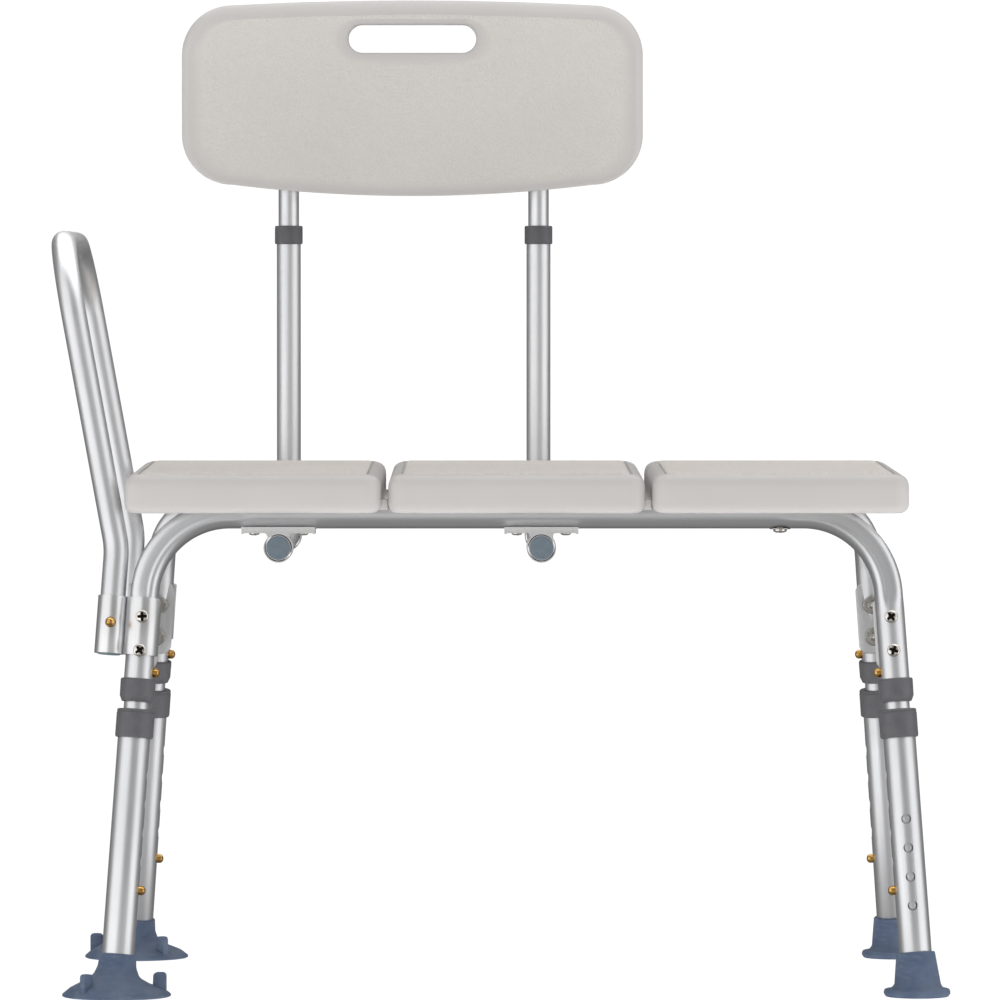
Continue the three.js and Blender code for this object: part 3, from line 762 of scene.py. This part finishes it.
def add_button(node, point, direction, along, tube_radius, bore):
    """A snap button, on the body of the same name, and its leaf spring. The spring's far arm stays against the
    tube's wall."""
    root = bore - BUTTON["inset"]
    mesh = button_mesh(root, tube_radius + BUTTON["stand"])
    add_piece(f"{node}_dome", mesh, node, BRASS, [node], aimed(point, direction, along))
    place = basis(direction, along.cross(direction), along, point)
    carrier = "backrest" if node.startswith("back") else "bench"
    leaf = add_piece(f"{node}_leaf", leaf_mesh(root), carrier, NICKEL, place=place)
    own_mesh(leaf)


def frame_collar_mesh(height):
    corners = [
        (12.9, 0, 0.2), (12.9, 3 - height, 0.2), (11.3, 3 - height, 0.2), (11.3, -height, 0.3),
        (13.2, -height, 0.8), (15.3, 5 - height, 2.0), (15.5, -1.2, 1.0), (14.8, 0, 0.6),
    ]
    return turned(rounded(corners, closed=True), 72, loop=True)


def leg_collar_mesh(height):
    corners = [
        (11.3, 0, 0.3), (11.3, -3.6, 0.2), (14.5, -3.6, 0.2), (14.5, -height, 0.2), (16.3, -height, 0.7),
        (16.8, -height + 1.5, 1.0), (16.8, -3.2, 0.3), (16.35, -2.9, 0.2), (16.35, -2.3, 0.2),
        (16.7, -2.0, 0.3), (16.3, 0, 1.4),
    ]
    return turned(rounded(corners, closed=True), 72, loop=True)


def add_leg_tube(leg, node, size, body, tools):
    """A straight tube on the leg's axis, with holes cut by tools that are placed in the bench's frame."""
    low, high = leg.run(node, size["radius"])
    local = leg.matrix(low)
    tube = pipe(size["radius"], size["radius"] - size["wall"], 0, (high - low) / leg.up.z)
    cutters = [moved(tool, local.inverted()) for tool in tools]
    add_piece(f"{node}_tube", combined(tube, cutters), body, TUBE, [node], local)


def make_leg(leg):
    place = leg.place
    body = f"leg_{place}"
    release, catch = leg.catch("release"), leg.catch("height")
    add_leg_tube(leg, f"inner_leg_{place}", INNER_LEG, "bench", [hole(release, 6, 16), hole(catch, 6, 16)])

    step = Matrix.Translation(leg.up * HOLE_PITCH)
    holes = []
    for _ in range(HOLE_COUNT):
        holes.append(hole(catch, 10, 18))
        catch = step @ catch
    if place == "front_right":
        low = leg.run(f"lower_leg_{place}", LOWER_LEG["radius"])[0]
        for i in range(FRONT_HOLES["count"]):
            point = leg.at(low) + leg.up * (FRONT_HOLES["first"] + HOLE_PITCH * i)
            holes.append(hole(aimed(point, -Y, leg.up), 10, 18, FRONT_HOLES["radius"]))
    add_leg_tube(leg, f"lower_leg_{place}", LOWER_LEG, body, holes)

    for kind, make_collar, carrier in (("frame", frame_collar_mesh, "bench"), ("leg", leg_collar_mesh, body)):
        node = f"{kind}_collar_{place}"
        bottom, top = leg.run(node, COLLAR_RADIUS[kind])
        collar = make_collar((top - bottom) / leg.up.z)
        add_piece(f"{node}_ring", collar, carrier, COLLAR, [node], leg.matrix(top))

    bore = INNER_LEG["radius"] - INNER_LEG["wall"]
    for button, outside in (("release", FRAME_TUBE["radius"]), ("height", LOWER_LEG["radius"])):
        point = leg.at(BUTTON_HEIGHTS[button])
        add_button(f"{button}_button_{place}", point, leg.inward, leg.up, outside, bore)


for leg in LEGS.values():
    make_leg(leg)


# ---- Feet ----

def leaning_neck(mesh, leg, pivot):
    """Leans the upper part of an upright foot so that its neck follows the leg."""
    for vertex in mesh.vertices:
        share = smooth_step(vertex.co.z, 5.0, 19.0)
        across = vertex.co.x * leg.up.x + vertex.co.y * leg.up.y
        axis = leg.at(vertex.co.z) - pivot
        vertex.co.x += axis.x * share
        vertex.co.y += axis.y * share
        vertex.co.z -= across / leg.up.z * share
    return mesh


def foot_bore(leg, pivot):
    low = leg.run(f"lower_leg_{leg.place}", LOWER_LEG["radius"])[0]
    return moved(rod(LOWER_LEG["radius"] + 0.25, -0.8, 80, 64), Matrix.Translation(-pivot) @ leg.matrix(low))


def fin_mesh(degrees):
    """An upright pull tab that runs along a radius of the cup."""
    outline = rounded([(31.5, 1), (44.2, 1), (44.2, 21.8, 3.2), (33.2, 21.8, 3.6), (32.6, 9, 3)], closed=True)
    fin = extruded(outline, -2.6, 2.6, bevel=0.9)
    turn = Matrix.Rotation(math.radians(degrees), 4, "Z") @ Matrix.Rotation(math.pi / 2, 4, "X")
    return moved(fin, turn)


CUP = [  # (distance from the axis, height, rounding)
    (0, 4.4), (26, 4.0), (40, 1.0, 6), (46.6, 0.1, 0.8), (48.0, 0.9, 0.8), (47.4, 2.6, 1.0), (41, 7.6, 12),
    (29.5, 12.6, 12), (20.2, 18.2, 8), (17.0, 26, 8), (15.9, 37, 1.2), (13.5, 37), (0, 37),
]
TIP = [
    (0, 1.2), (24, 1.2), (25, 0, 0.6), (27.4, 0, 1.2), (29.5, 3.0, 2.6), (28.6, 6.6, 2.0), (22.6, 7.8, 4),
    (20.4, 11, 6), (16.9, 38.5, 1.4), (14, 38.5), (0, 38.5),
]


def make_foot(leg, node, piece, profile, segments, fins=()):
    """A rubber foot that stands upright, with a leaning neck bored for the leg, and any pull tabs."""
    pivot = leg.at(FOOT_PIVOT)
    pivot.z = 0
    foot = leaning_neck(turned(rounded(profile), segments), leg, pivot)
    if fins:
        foot = combined(foot, [*map(fin_mesh, fins)], "UNION")
    foot = combined(foot, [foot_bore(leg, pivot)])
    add_piece(piece, foot, f"leg_{leg.place}", RUBBER, [node], Matrix.Translation(pivot))


for place, fins in (("front_left", (-8, 229.5)), ("rear_left", (-50, 165))):
    node = f"suction_foot_{place}"
    make_foot(LEGS[place], node, f"{node}_cup", CUP, 96, fins)
for place in ("front_right", "rear_right"):
    node = f"rubber_tip_{place}"
    make_foot(LEGS[place], node, f"{node}_body", TIP, 80)


# ---- Fasteners ----

def pan_screw(radius=5.8, height=3.0):
    """A pan-head screw along Z, its underside at zero, with a deep cross recess."""
    dome = domed(radius, 0.65 * height, 0.35 * height, (0, 0.25, 0.5, 0.8, 1.1, 1.35))
    core = radius * 0.8
    head = turned([(0, -SCREW_SINK), (core, -SCREW_SINK), (core, 0), (radius, 0), *dome, (0, height)], 48)
    reach, narrow, flare = radius * 0.74, radius * 0.19, radius * 0.24
    cross = []
    for turn in range(4):
        spin = Matrix.Rotation(turn * math.pi / 2, 2)
        cross += [spin @ Vector(corner) for corner in ((reach, -narrow), (reach, narrow), (flare, flare))]
    return combined(head, [extruded(cross, 0.1, height + 1)])


def washer(radius=8.6, bore=3.0, thickness=1.4):
    corners = [(bore, 0, 0.2), (radius, 0, 0.3), (radius, thickness, 0.6), (bore, thickness, 0.3)]
    return turned(rounded(corners, closed=True, steps=3), 56, loop=True)


def dome_nut(size=4.2, collar=2.2, height=6.4, crown=3.4):
    """A hexagon nut closed by a dome."""
    hexagon = arc(size, 0, 360, 6)[:-1]
    dome = domed(crown, height - collar, collar, (0.0, 0.3, 0.6, 0.9, 1.2, 1.4))
    cap = turned([(0, collar - 0.5), (crown, collar - 0.5), *dome, (0, height)], 40)
    return combined(extruded(hexagon, 0, collar, bevel=0.45), [cap], "UNION")


def add_fastener(name, mesh, point, direction, spin=0.0, look=NICKEL, body="bench"):
    place = aimed(point, direction) @ Matrix.Rotation(math.radians(spin), 4, "Z")
    add_piece(name, mesh, body, look, place=place)


def fasten_leg(leg):
    """Two screws through the leg, with washers and dome nuts on the brace's flange."""
    seat = ARM_BRACKET["shell"] if leg.side < 0 else FRAME_TUBE["radius"]
    flange = FRAME_TUBE["radius"] + BRACE["gap"] + BRACE["thickness"] + 0.1
    for i, (level, height) in enumerate(LEG_SCREW_HEIGHTS.items()):
        centre = leg.at(height)
        head = centre + leg.outer * (seat + 0.05)
        name = f"{leg.place}_{level}"
        spin = 20 + 33 * i + 17 * leg.side
        add_fastener(f"brace_screw_{name}", pan_screw(), head, leg.outer, spin, SCREW)
        add_fastener(f"brace_washer_{name}", washer(), centre - leg.outer * flange, -leg.outer)
        add_fastener(f"brace_nut_{name}", dome_nut(), centre - leg.outer * (flange + 1.4), -leg.outer, spin)


for leg in LEGS.values():
    fasten_leg(leg)


# ---- Side braces ----

def brace_path(outer_x, outer_y, step=3.0):
    """The strap's middle line in plan, as closely spaced points from one flange's end to the other's."""
    end_x = outer_x - BRACE["flange"]
    x, y = outer_x - BRACE["thickness"] / 2, outer_y - BRACE["thickness"] / 2
    corners = [(end_x, -y), (x, -y, BRACE["bend"]), (x, y, BRACE["bend"]), (end_x, y)]
    line = [Vector(point) for point in rounded(corners, steps=8)]
    path = []
    for start, stop in zip(line, line[1:]):
        count = max(1, round((stop - start).length / step))
        path += [start.lerp(stop, k / count) for k in range(count)]
    return [*path, line[-1]]


def make_brace(side_name):
    """A strap bent to a wide U in plan, with rounded flange corners. It leans sideways with the legs. Its
    flanges stand upright, as far out as the legs' tubes are at the strap's bottom edge."""
    side = SIDES[side_name]
    leg = LEGS[f"rear_{side_name}"]
    corner = leg.at(BRACE["middle"])
    outer_y = corner.y - FRAME_TUBE["radius"] - BRACE["gap"]
    path = brace_path(side * corner.x + BRACE["overhang"], outer_y)
    section = [(-1, -1), (-0.75, -1), (0.75, -1), (1, -1), (1, 1), (0.75, 1), (-0.75, 1), (-1, 1)]
    total = sum((b - a).length for a, b in zip(path, path[1:]))
    travelled = 0.0
    rings = []
    for i, point in enumerate(path):
        before, after = path[max(i - 1, 0)], path[min(i + 1, len(path) - 1)]
        normal = Vector((after.y - before.y, before.x - after.x)).normalized()
        if i:
            travelled += (point - before).length
        short = max(0, BRACE["corner"] - min(travelled, total - travelled))
        top = BRACE["height"] / 2 - BRACE["corner"] + math.sqrt(max(0, BRACE["corner"] ** 2 - short ** 2))
        ring = []
        for across, up in section:
            rise = up * (top - (0.7 if abs(across) == 1 else 0.0))
            offset = normal * (across * BRACE["thickness"] / 2)
            x = side * (point.x + offset.x - rise * leg_slope(leg, "x"))
            y = point.y + offset.y
            y += math.copysign(abs(rise) * leg_slope(leg, "y") * min(1, abs(y) / outer_y), y)
            ring.append(Vector((x, y, BRACE["middle"] + rise)))
        rings.append(ring)
    node = f"side_brace_{side_name}"
    add_piece(f"{node}_strap", loft(rings), "bench", EXTRUSION, [node])


def leg_slope(leg, axis):
    """How far a leg runs outwards for each millimetre of drop."""
    return abs(leg.up.x if axis == "x" else leg.up.y) / leg.up.z


for side_name in SIDES:
    make_brace(side_name)


# ---- Arm rail and its brackets ----

def beside(leg, height):
    """The arm tube's axis beside a leg."""
    return leg.at(height) - leg.inward * ARM_TUBE["spacing"]


def arm_catch(leg):
    """The place of an arm button or its hole."""
    return aimed(beside(leg, BUTTON_HEIGHTS["arm"]), leg.outer, leg.up)


def make_arm_rail():
    low, high = box("arm_rail")
    radius = ARM_TUBE["radius"]
    top = high.z - radius
    ends = []
    for end in ENDS:
        leg = LEGS[f"{end}_left"]
        foot = beside(leg, low.z + radius * ARM_TUBE["foot_lean"])
        bend = beside(leg, ARM_TUBE["bend_height"])
        bend.y = leg.end * ARM_TUBE["bend_depth"]
        upper = Vector((bend.x - ARM_TUBE["lean"] * (top - bend.z), bend.y, top))
        ends.append([foot, bend, upper])
    stations, _ = bent_path([*ends[0], *reversed(ends[1])], ARM_TUBE["bend"])
    tube = swept_tube(stations, carried(stations, X), radius, ARM_TUBE["wall"])
    tools = [hole(arm_catch(LEGS[f"{end}_left"]), 5, 17) for end in ENDS]
    add_piece("arm_rail_tube", combined(tube, tools), "bench", BENT_TUBE, ["arm_rail"])


def make_arm_bracket(end):
    """One extrusion: a sleeve round the arm tube and a half shell on the leg, joined by a web."""
    node = f"arm_bracket_{end}"
    leg = LEGS[f"{end}_left"]
    size = ARM_BRACKET
    bottom, top = leg.run(node, size["shell"])
    beside_leg = (-ARM_TUBE["spacing"], 0)

    def angle(reach, curve):
        return math.degrees(math.asin(size[reach] / size[curve]))

    outline = arc(size["shell"], 2, 180 - angle("web", "shell"), 32)
    outline += arc(size["sleeve"], angle("web", "sleeve"), 360 - angle("near", "sleeve"), 64, beside_leg)
    outline += arc(size["leg_bore"], 180 + angle("near", "leg_bore"), 2, 44)
    bore = arc(size["bore"], 0, 360, 60, beside_leg)[:-1]
    outline, bore = ([(x, leg.end * y) for x, y in curve] for curve in (outline, bore))
    bracket = extruded(outline, 0, (top - bottom) / leg.up.z, [bore], bevel=0.35)
    local = leg.matrix(bottom)
    bracket = combined(bracket, [hole(local.inverted() @ arm_catch(leg), 8, 20)])
    add_piece(f"{node}_extrusion", bracket, "bench", EXTRUSION, [node], local)
    inside = ARM_TUBE["radius"] - ARM_TUBE["wall"]
    button = beside(leg, BUTTON_HEIGHTS["arm"])
    add_button(f"arm_button_{end}", button, leg.outer, leg.up, size["sleeve"], inside)

    node = f"arm_plug_{end}"
    start = beside(leg, box(node)[0].z + PLUG["head"] * PLUG["lean"])
    add_piece(f"{node}_body", plug_mesh(), "bench", CAP, [node], aimed(start, leg.up, X))


def plug_mesh():
    """A tube-end plug: its head is at the bottom, and its ribbed stem runs up inside the tube."""
    corners = [(0, 0), (9.4, 0, 0.5), (10.35, 0.7, 0.6), (10.35, 2.65, 0.3), (8.9, 2.65)]
    for rib in range(4):
        z = 4.0 + rib * 2.6
        corners += [(8.9, z), (9.5, z + 0.4), (9.5, z + 0.9), (8.9, z + 1.5)]
    corners += [(8.4, 15), (0, 15)]
    return turned(rounded(corners, steps=4), 56)


make_arm_rail()
for end_name in ENDS:
    make_arm_bracket(end_name)


# ---- Backrest ----

BACK_COLLAR = [
    (9.7, 0, 0.3), (9.7, -6, 0.2), (11.3, -6, 0.2), (11.3, -17, 0.2), (12.4, -17, 0.7), (12.9, -16, 0.8),
    (12.9, -1.2, 1.0), (12.2, 0, 0.8),
]


def back_axis(side):
    """Where a back tube's upright runs, in x and y, and the height of the run that lies under the seat."""
    low, high = box(f"back_tube_{side}")
    radius = BACK_TUBE["radius"]
    return (low.x + high.x) / 2, high.y - radius, low.z + radius


def make_back_tubes(side):
    x, upright, run = back_axis(side)
    low, high = box(f"back_tube_{side}")
    corners = [Vector((x, low.y, run)), Vector((x, upright, run)), Vector((x, upright, high.z))]
    stations, _ = bent_path(corners, BACK_TUBE["bend"])
    tube = swept_tube(stations, carried(stations, X), BACK_TUBE["radius"], BACK_TUBE["wall"])
    button = Vector((x, upright, BUTTON_HEIGHTS["back"]))
    catch = aimed(button, Y)
    tube = combined(tube, [hole(catch, 6, 14)])
    add_piece(f"back_tube_{side}_bend", tube, "backrest", BENT_TUBE, [f"back_tube_{side}"])

    node = f"back_upper_tube_{side}"
    low, high = box(node)
    outer, bore = UPPER_TUBE["radius"], UPPER_TUBE["radius"] - UPPER_TUBE["wall"]
    place = Matrix.Translation((x, upright, low.z))
    upper = combined(pipe(outer, bore, 0, high.z - low.z), [hole(place.inverted() @ catch, 6, 14)])
    add_piece(f"{node}_tube", upper, "backrest", TUBE, [node], place)

    node = f"back_collar_{side}"
    place = Matrix.Translation((x, upright, box(node)[1].z))
    ring = turned(rounded(BACK_COLLAR, closed=True), 72, loop=True)
    add_piece(f"{node}_ring", ring, "backrest", COLLAR, [node], place)
    add_button(f"back_button_{side}", button, Y, Z, BACK_TUBE["radius"], bore)

    node = f"back_end_cap_{side}"
    place = aimed(Vector((x, box(node)[0].y, run)), Y)
    add_piece(f"{node}_disc", plug_mesh(), "backrest", CAP, [node], place)


def make_back_bracket(end, side):
    """An extruded plate under the seat rail, with a ring below it and a small lip at each end."""
    node = f"back_bracket_{end}_{side}"
    low, high = box(node)
    x, _, run = back_axis(side)
    top = high.z - run
    half = (high.x - low.x) / 2
    ring, under = BRACKET["ring"], top - BRACKET["thickness"]
    lip, shoulder = under - BRACKET["lip"], BRACKET["shoulder"]
    neck = math.degrees(math.acos(BRACKET["neck"] / ring))
    outline = rounded([
        (-half, top, 0.4), (-half, lip, 0.4), (1.6 - half, lip, 0.4), (2.6 - half, under, 0.6),
        (-shoulder, under, 2), *arc(ring, 180 - neck, 360 + neck, 64), (shoulder, under, 2),
        (half - 2.6, under, 0.6), (half - 1.6, lip, 0.4), (half, lip, 0.4), (half, top, 0.4),
    ], closed=True, steps=2)
    bore = arc(BRACKET["bore"], 0, 360, 60)[:-1]
    plate = extruded(outline, 0, high.y - low.y, [bore], bevel=0.3)
    turn = Matrix.Translation((x, high.y, run)) @ Matrix.Rotation(math.pi / 2, 4, "X")
    plate = combined(plate, [moved(frame_groove(end), turn.inverted())])
    add_piece(f"{node}_extrusion", plate, "bench", SAWN, [node], turn)
    for i, way in enumerate((-1, 1)):
        point = Vector((x + way * BRACKET["screw"], (low.y + high.y) / 2, run + under))
        add_fastener(f"{node}_screw_{i + 1}", pan_screw(4.6, 2.6), point, -Z, 25 + 40 * i, SCREW)


SLOT = {"height": 850.8, "half": 59.0, "radius": 13.0, "edge": 4.5}
BACK_PANEL = {"corner": 46.0, "bow_top": 4.6, "bow_bottom": 10.4, "front_edge": 9.0, "edge_change": 4.5,
              "rear_edge": 8.0, "tube_bore": 10.2}
FRONT_RINGS = [(0.03, 0.3), *[(share, 1) for share in (0.08, 0.2, 0.35, 0.5, 0.65, 0.8, 0.93)], (0.975, 0.4)]
REAR_RINGS = [(share, 0.5) for share in (0.97, 0.9, 0.7, 0.5, 0.3, 0.1)]  # (share of the way out, zone of grain and painted light)


def bowed_outline(half, bottom, top):
    """The panel's outline round its middle: bowed top and bottom edges joined by corner arcs."""
    corner = BACK_PANEL["corner"]
    upper, lower, inset = top - BACK_PANEL["bow_top"], bottom + BACK_PANEL["bow_bottom"], half - corner
    shares = [k / 40 for k in range(1, 40)]
    points = []
    for way, start, level, peak in ((1, 0, upper, top), (-1, 180, lower, bottom)):
        points += arc(corner, start, start + 90, 20, (way * inset, level - way * corner))
        points += [(way * inset * (1 - 2 * t), level + 4 * (peak - level) * t * (1 - t)) for t in shares]
        points += arc(corner, start + 90, start + 180, 20, (-way * inset, level - way * corner))
    return points


def star_ring(outline, centre, angles):
    """Where rays from a centre inside an outline cross it, with the outward normals there."""
    hits = []
    count = len(outline)
    points = [Vector(point) for point in outline]
    sides = [points[(i + 1) % count] - points[i] for i in range(count)]
    square = [Vector((side.y, -side.x)).normalized() for side in sides]
    normals = [(square[i - 1] + square[i]).normalized() for i in range(count)]
    for angle in angles:
        ray = Vector((math.cos(angle), math.sin(angle)))
        for i, side in enumerate(sides):
            start = points[i] - centre
            cross = ray.cross(side)
            if abs(cross) < 1e-9:
                continue
            reach = start.cross(side) / cross
            share = start.cross(ray) / cross
            if reach > 0 and -1e-6 <= share <= 1 + 1e-6:
                normal = normals[i].lerp(normals[(i + 1) % count], share).normalized()
                hits.append((centre + ray * reach, normal))
                break
    return hits


def back_panel_mesh(low, high):
    """A shell of rings that run round the hand slot: over the front face, round the edge, and back behind."""
    middle = (low.x + high.x) / 2
    outline = bowed_outline((high.x - low.x) / 2, low.z, high.z)
    reach = SLOT["half"] - SLOT["radius"]
    slot = arc(SLOT["radius"], -90, 90, 16, (reach, SLOT["height"]))
    slot += arc(SLOT["radius"], 90, 270, 16, (-reach, SLOT["height"]))
    centre = Vector((0, SLOT["height"]))
    angles = sorted({round(math.atan2(y - centre.y, x), 4) for x, y in outline + slot})
    rim = star_ring(outline, centre, angles)
    mouth = star_ring(slot, centre, angles)
    front, rear = low.y, high.y
    rings, zones = [], []

    def add_ring(points, zone):
        rings.append([Vector((middle + p.x, depth, p.y)) for p, depth in points])
        zones.extend([float(zone)] * len(points))

    def slot_edge(normal):
        return SLOT["edge"]

    def front_edge(normal):
        return -BACK_PANEL["front_edge"] - BACK_PANEL["edge_change"] * normal.y

    def rear_edge(normal):
        return -BACK_PANEL["rear_edge"]

    def add_edge(curve, radius, face, way, turns):
        """Rounds an edge at a face. The radius is below zero where the panel lies inside the curve."""
        for turn in turns:
            inset, sink = 1 - math.cos(turn), way * (1 - math.sin(turn))
            add_ring([(p + n * (radius(n) * inset), face + abs(radius(n)) * sink) for p, n in curve], 0)

    def add_face(outer_radius, face, steps):
        for share, zone in steps:
            ends = [(p + n * SLOT["edge"], q + m * outer_radius(m)) for (p, n), (q, m) in zip(mouth, rim)]
            add_ring([(a.lerp(b, share), face) for a, b in ends], zone)

    turns = [math.radians(angle) for angle in (0, 18, 36, 54, 72, 90)]
    add_edge(mouth, slot_edge, front, 1, turns)
    add_face(front_edge, front, FRONT_RINGS)
    add_edge(rim, front_edge, front, 1, turns[::-1])
    add_edge(rim, rear_edge, rear, -1, turns)
    add_face(rear_edge, rear, REAR_RINGS)
    add_edge(mouth, slot_edge, rear, -1, turns[::-1])
    return loft(rings, loop=True, layers={"grain_and_painted_light_zone": zones})


def make_back_panel():
    """The panel's shell, bored for its two tubes, and the screws that hold it to them."""
    low, high = box("back_panel")
    bore = BACK_PANEL["tube_bore"]
    tools = []
    for side in SIDES:
        tube_low, tube_high = box(f"back_upper_tube_{side}")
        middle = (tube_low + tube_high) / 2
        start, top = low.z - 10, tube_high.z + 1
        dome = domed(bore, bore, top, (0.3, 0.6, 0.9, 1.2))
        cutter = turned([(0, start), (bore, start), (bore, top), *dome, (0, top + bore)], 48)
        tools.append(moved(cutter, Matrix.Translation((middle.x, middle.y, 0))))
    shell = combined(back_panel_mesh(low, high), tools)
    add_piece("back_panel_shell", shell, "backrest", PANEL, ["back_panel"])
    for side in SIDES:
        tube_low, tube_high = box(f"back_upper_tube_{side}")
        for i, height in enumerate(BACK_SCREW_HEIGHTS):
            point = Vector(((tube_low.x + tube_high.x) / 2, tube_high.y, height))
            name = f"{side}_{i + 1}"
            plate, screw = washer(6.4, 2.6, 1.0), pan_screw(4.8, 2.6)
            spin = 30 + 50 * i
            add_fastener(f"back_panel_washer_{name}", plate, point - Y * 0.2, Y, body="backrest")
            add_fastener(f"back_panel_screw_{name}", screw, point + Y * 0.8, Y, spin, SCREW, "backrest")


make_back_panel()
for side_name in SIDES:
    make_back_tubes(side_name)
    for end_name in ENDS:
        make_back_bracket(end_name, side_name)

# Screws that hold the right-hand seat panel to the rails, with wide washers.
for end_name in ENDS:
    _, rail_high = box(f"{end_name}_frame")
    _, panel_high = box("seat_panel_right")
    rail = LEGS[f"{end_name}_right"].at(rail_high.z - FRAME_TUBE["radius"])
    point = Vector((panel_high.x - SEAT_SCREW_INSET, rail.y, rail.z - FRAME_TUBE["radius"]))
    add_fastener(f"seat_washer_{end_name}", washer(9.4, 2.8, 1.2), point + Z * 0.6, -Z)
    add_fastener(f"seat_screw_{end_name}", pan_screw(6.0, 3.4), point - Z * 0.6, -Z, 40, SCREW)


# ---- Studio and camera ----

def make_floor(size=40.0):
    """A pale glowing floor. It lights the bench from below, and the camera and reflections don't see it, so a
    leg that is let out below the floor's level still shows."""
    mesh = bpy.data.meshes.new("floor")
    corners = [(-size, -size, 0), (size, -size, 0), (size, size, 0), (-size, size, 0)]
    mesh.from_pydata(corners, [], [(0, 1, 2, 3)])
    floor = linked("floor", mesh)
    look = Look("floor", "floor")
    look.set(Base_Color=(0.9, 0.9, 0.9, 1), Roughness=0.9)
    look.set(Emission_Color=(1, 1, 1, 1), Emission_Strength=0.86)
    mesh.materials.append(look.material)
    floor.location.z = -0.0005
    floor.visible_glossy = False
    floor.visible_camera = False


def add_light(name, location, target, width, height, power):
    data = bpy.data.lights.new(name, "AREA")
    data.shape = "RECTANGLE"
    data.size, data.size_y, data.energy = width, height, power
    light = linked(name, data)
    light.visible_camera = False
    light.location = location
    light.rotation_euler = (Vector(target) - Vector(location)).to_track_quat("-Z", "Y").to_euler()


def make_world():
    """A white background for the camera. Reflections see a grey room that is lighter low down in front."""
    world = bpy.data.worlds.new("studio")
    bpy.context.scene.world = world
    world.use_nodes = True
    sky = Nodes(world.node_tree)
    way = sky.node("SeparateXYZ", {"Vector": sky.node("TexCoord").outputs["Generated"]}).outputs
    low_down = sky.times(sky.ranged(way["Z"], -0.60, -0.12), sky.ranged(way["Z"], -0.05, 0.05, 1.0, 0.0))
    glow = sky.times(low_down, sky.ranged(way["Y"], -0.25, 0.15, 1.0, 0.0))
    grey = sky.ranged(way["Z"], -0.7, -0.1, 0.27, 0.31)
    grey = sky.times(grey, sky.ranged(way["Y"], 0.2, 0.7, 1.0, 0.55))
    room = sky.tree.nodes["Background"]
    sky.join((1.0, 0.99, 0.975, 1), room.inputs["Color"])
    sky.join(sky.plus(grey, sky.times(glow, 0.30)), room.inputs["Strength"])
    white = sky.node("Background", {"Color": (1, 1, 1, 1), "Strength": 1.05})
    seen = sky.node("LightPath").outputs["Is Camera Ray"]
    mix = sky.node("MixShader", {"Fac": seen, 1: room.outputs[0], 2: white.outputs[0]})
    sky.join(mix.outputs[0], sky.tree.nodes["World Output"].inputs["Surface"])


def make_camera():
    data = bpy.data.cameras.new("camera")
    data.sensor_width = 36.0
    data.lens = 307.7
    data.clip_end = 100.0
    camera = linked("camera", data)
    camera.location = (-0.0129, -7.70, 0.625)
    camera.rotation_euler = (math.radians(90 - 1.451), 0, math.radians(-0.107))
    bpy.context.scene.camera = camera


make_floor()
make_world()
add_light("left_box", (-2.7, -2.2, 1.0), (0, 0, 0.7), 5.0, 5.2, 63)
add_light("right_box", (3.1, -1.35, 1.0), (0, 0, 0.7), 3.4, 5.2, 42)
add_light("top_box", (0.2, 0.6, 3.2), (0, 0.1, 0.4), 6.0, 5.0, 132)
make_camera()
bpy.context.scene.view_settings.view_transform = "Standard"
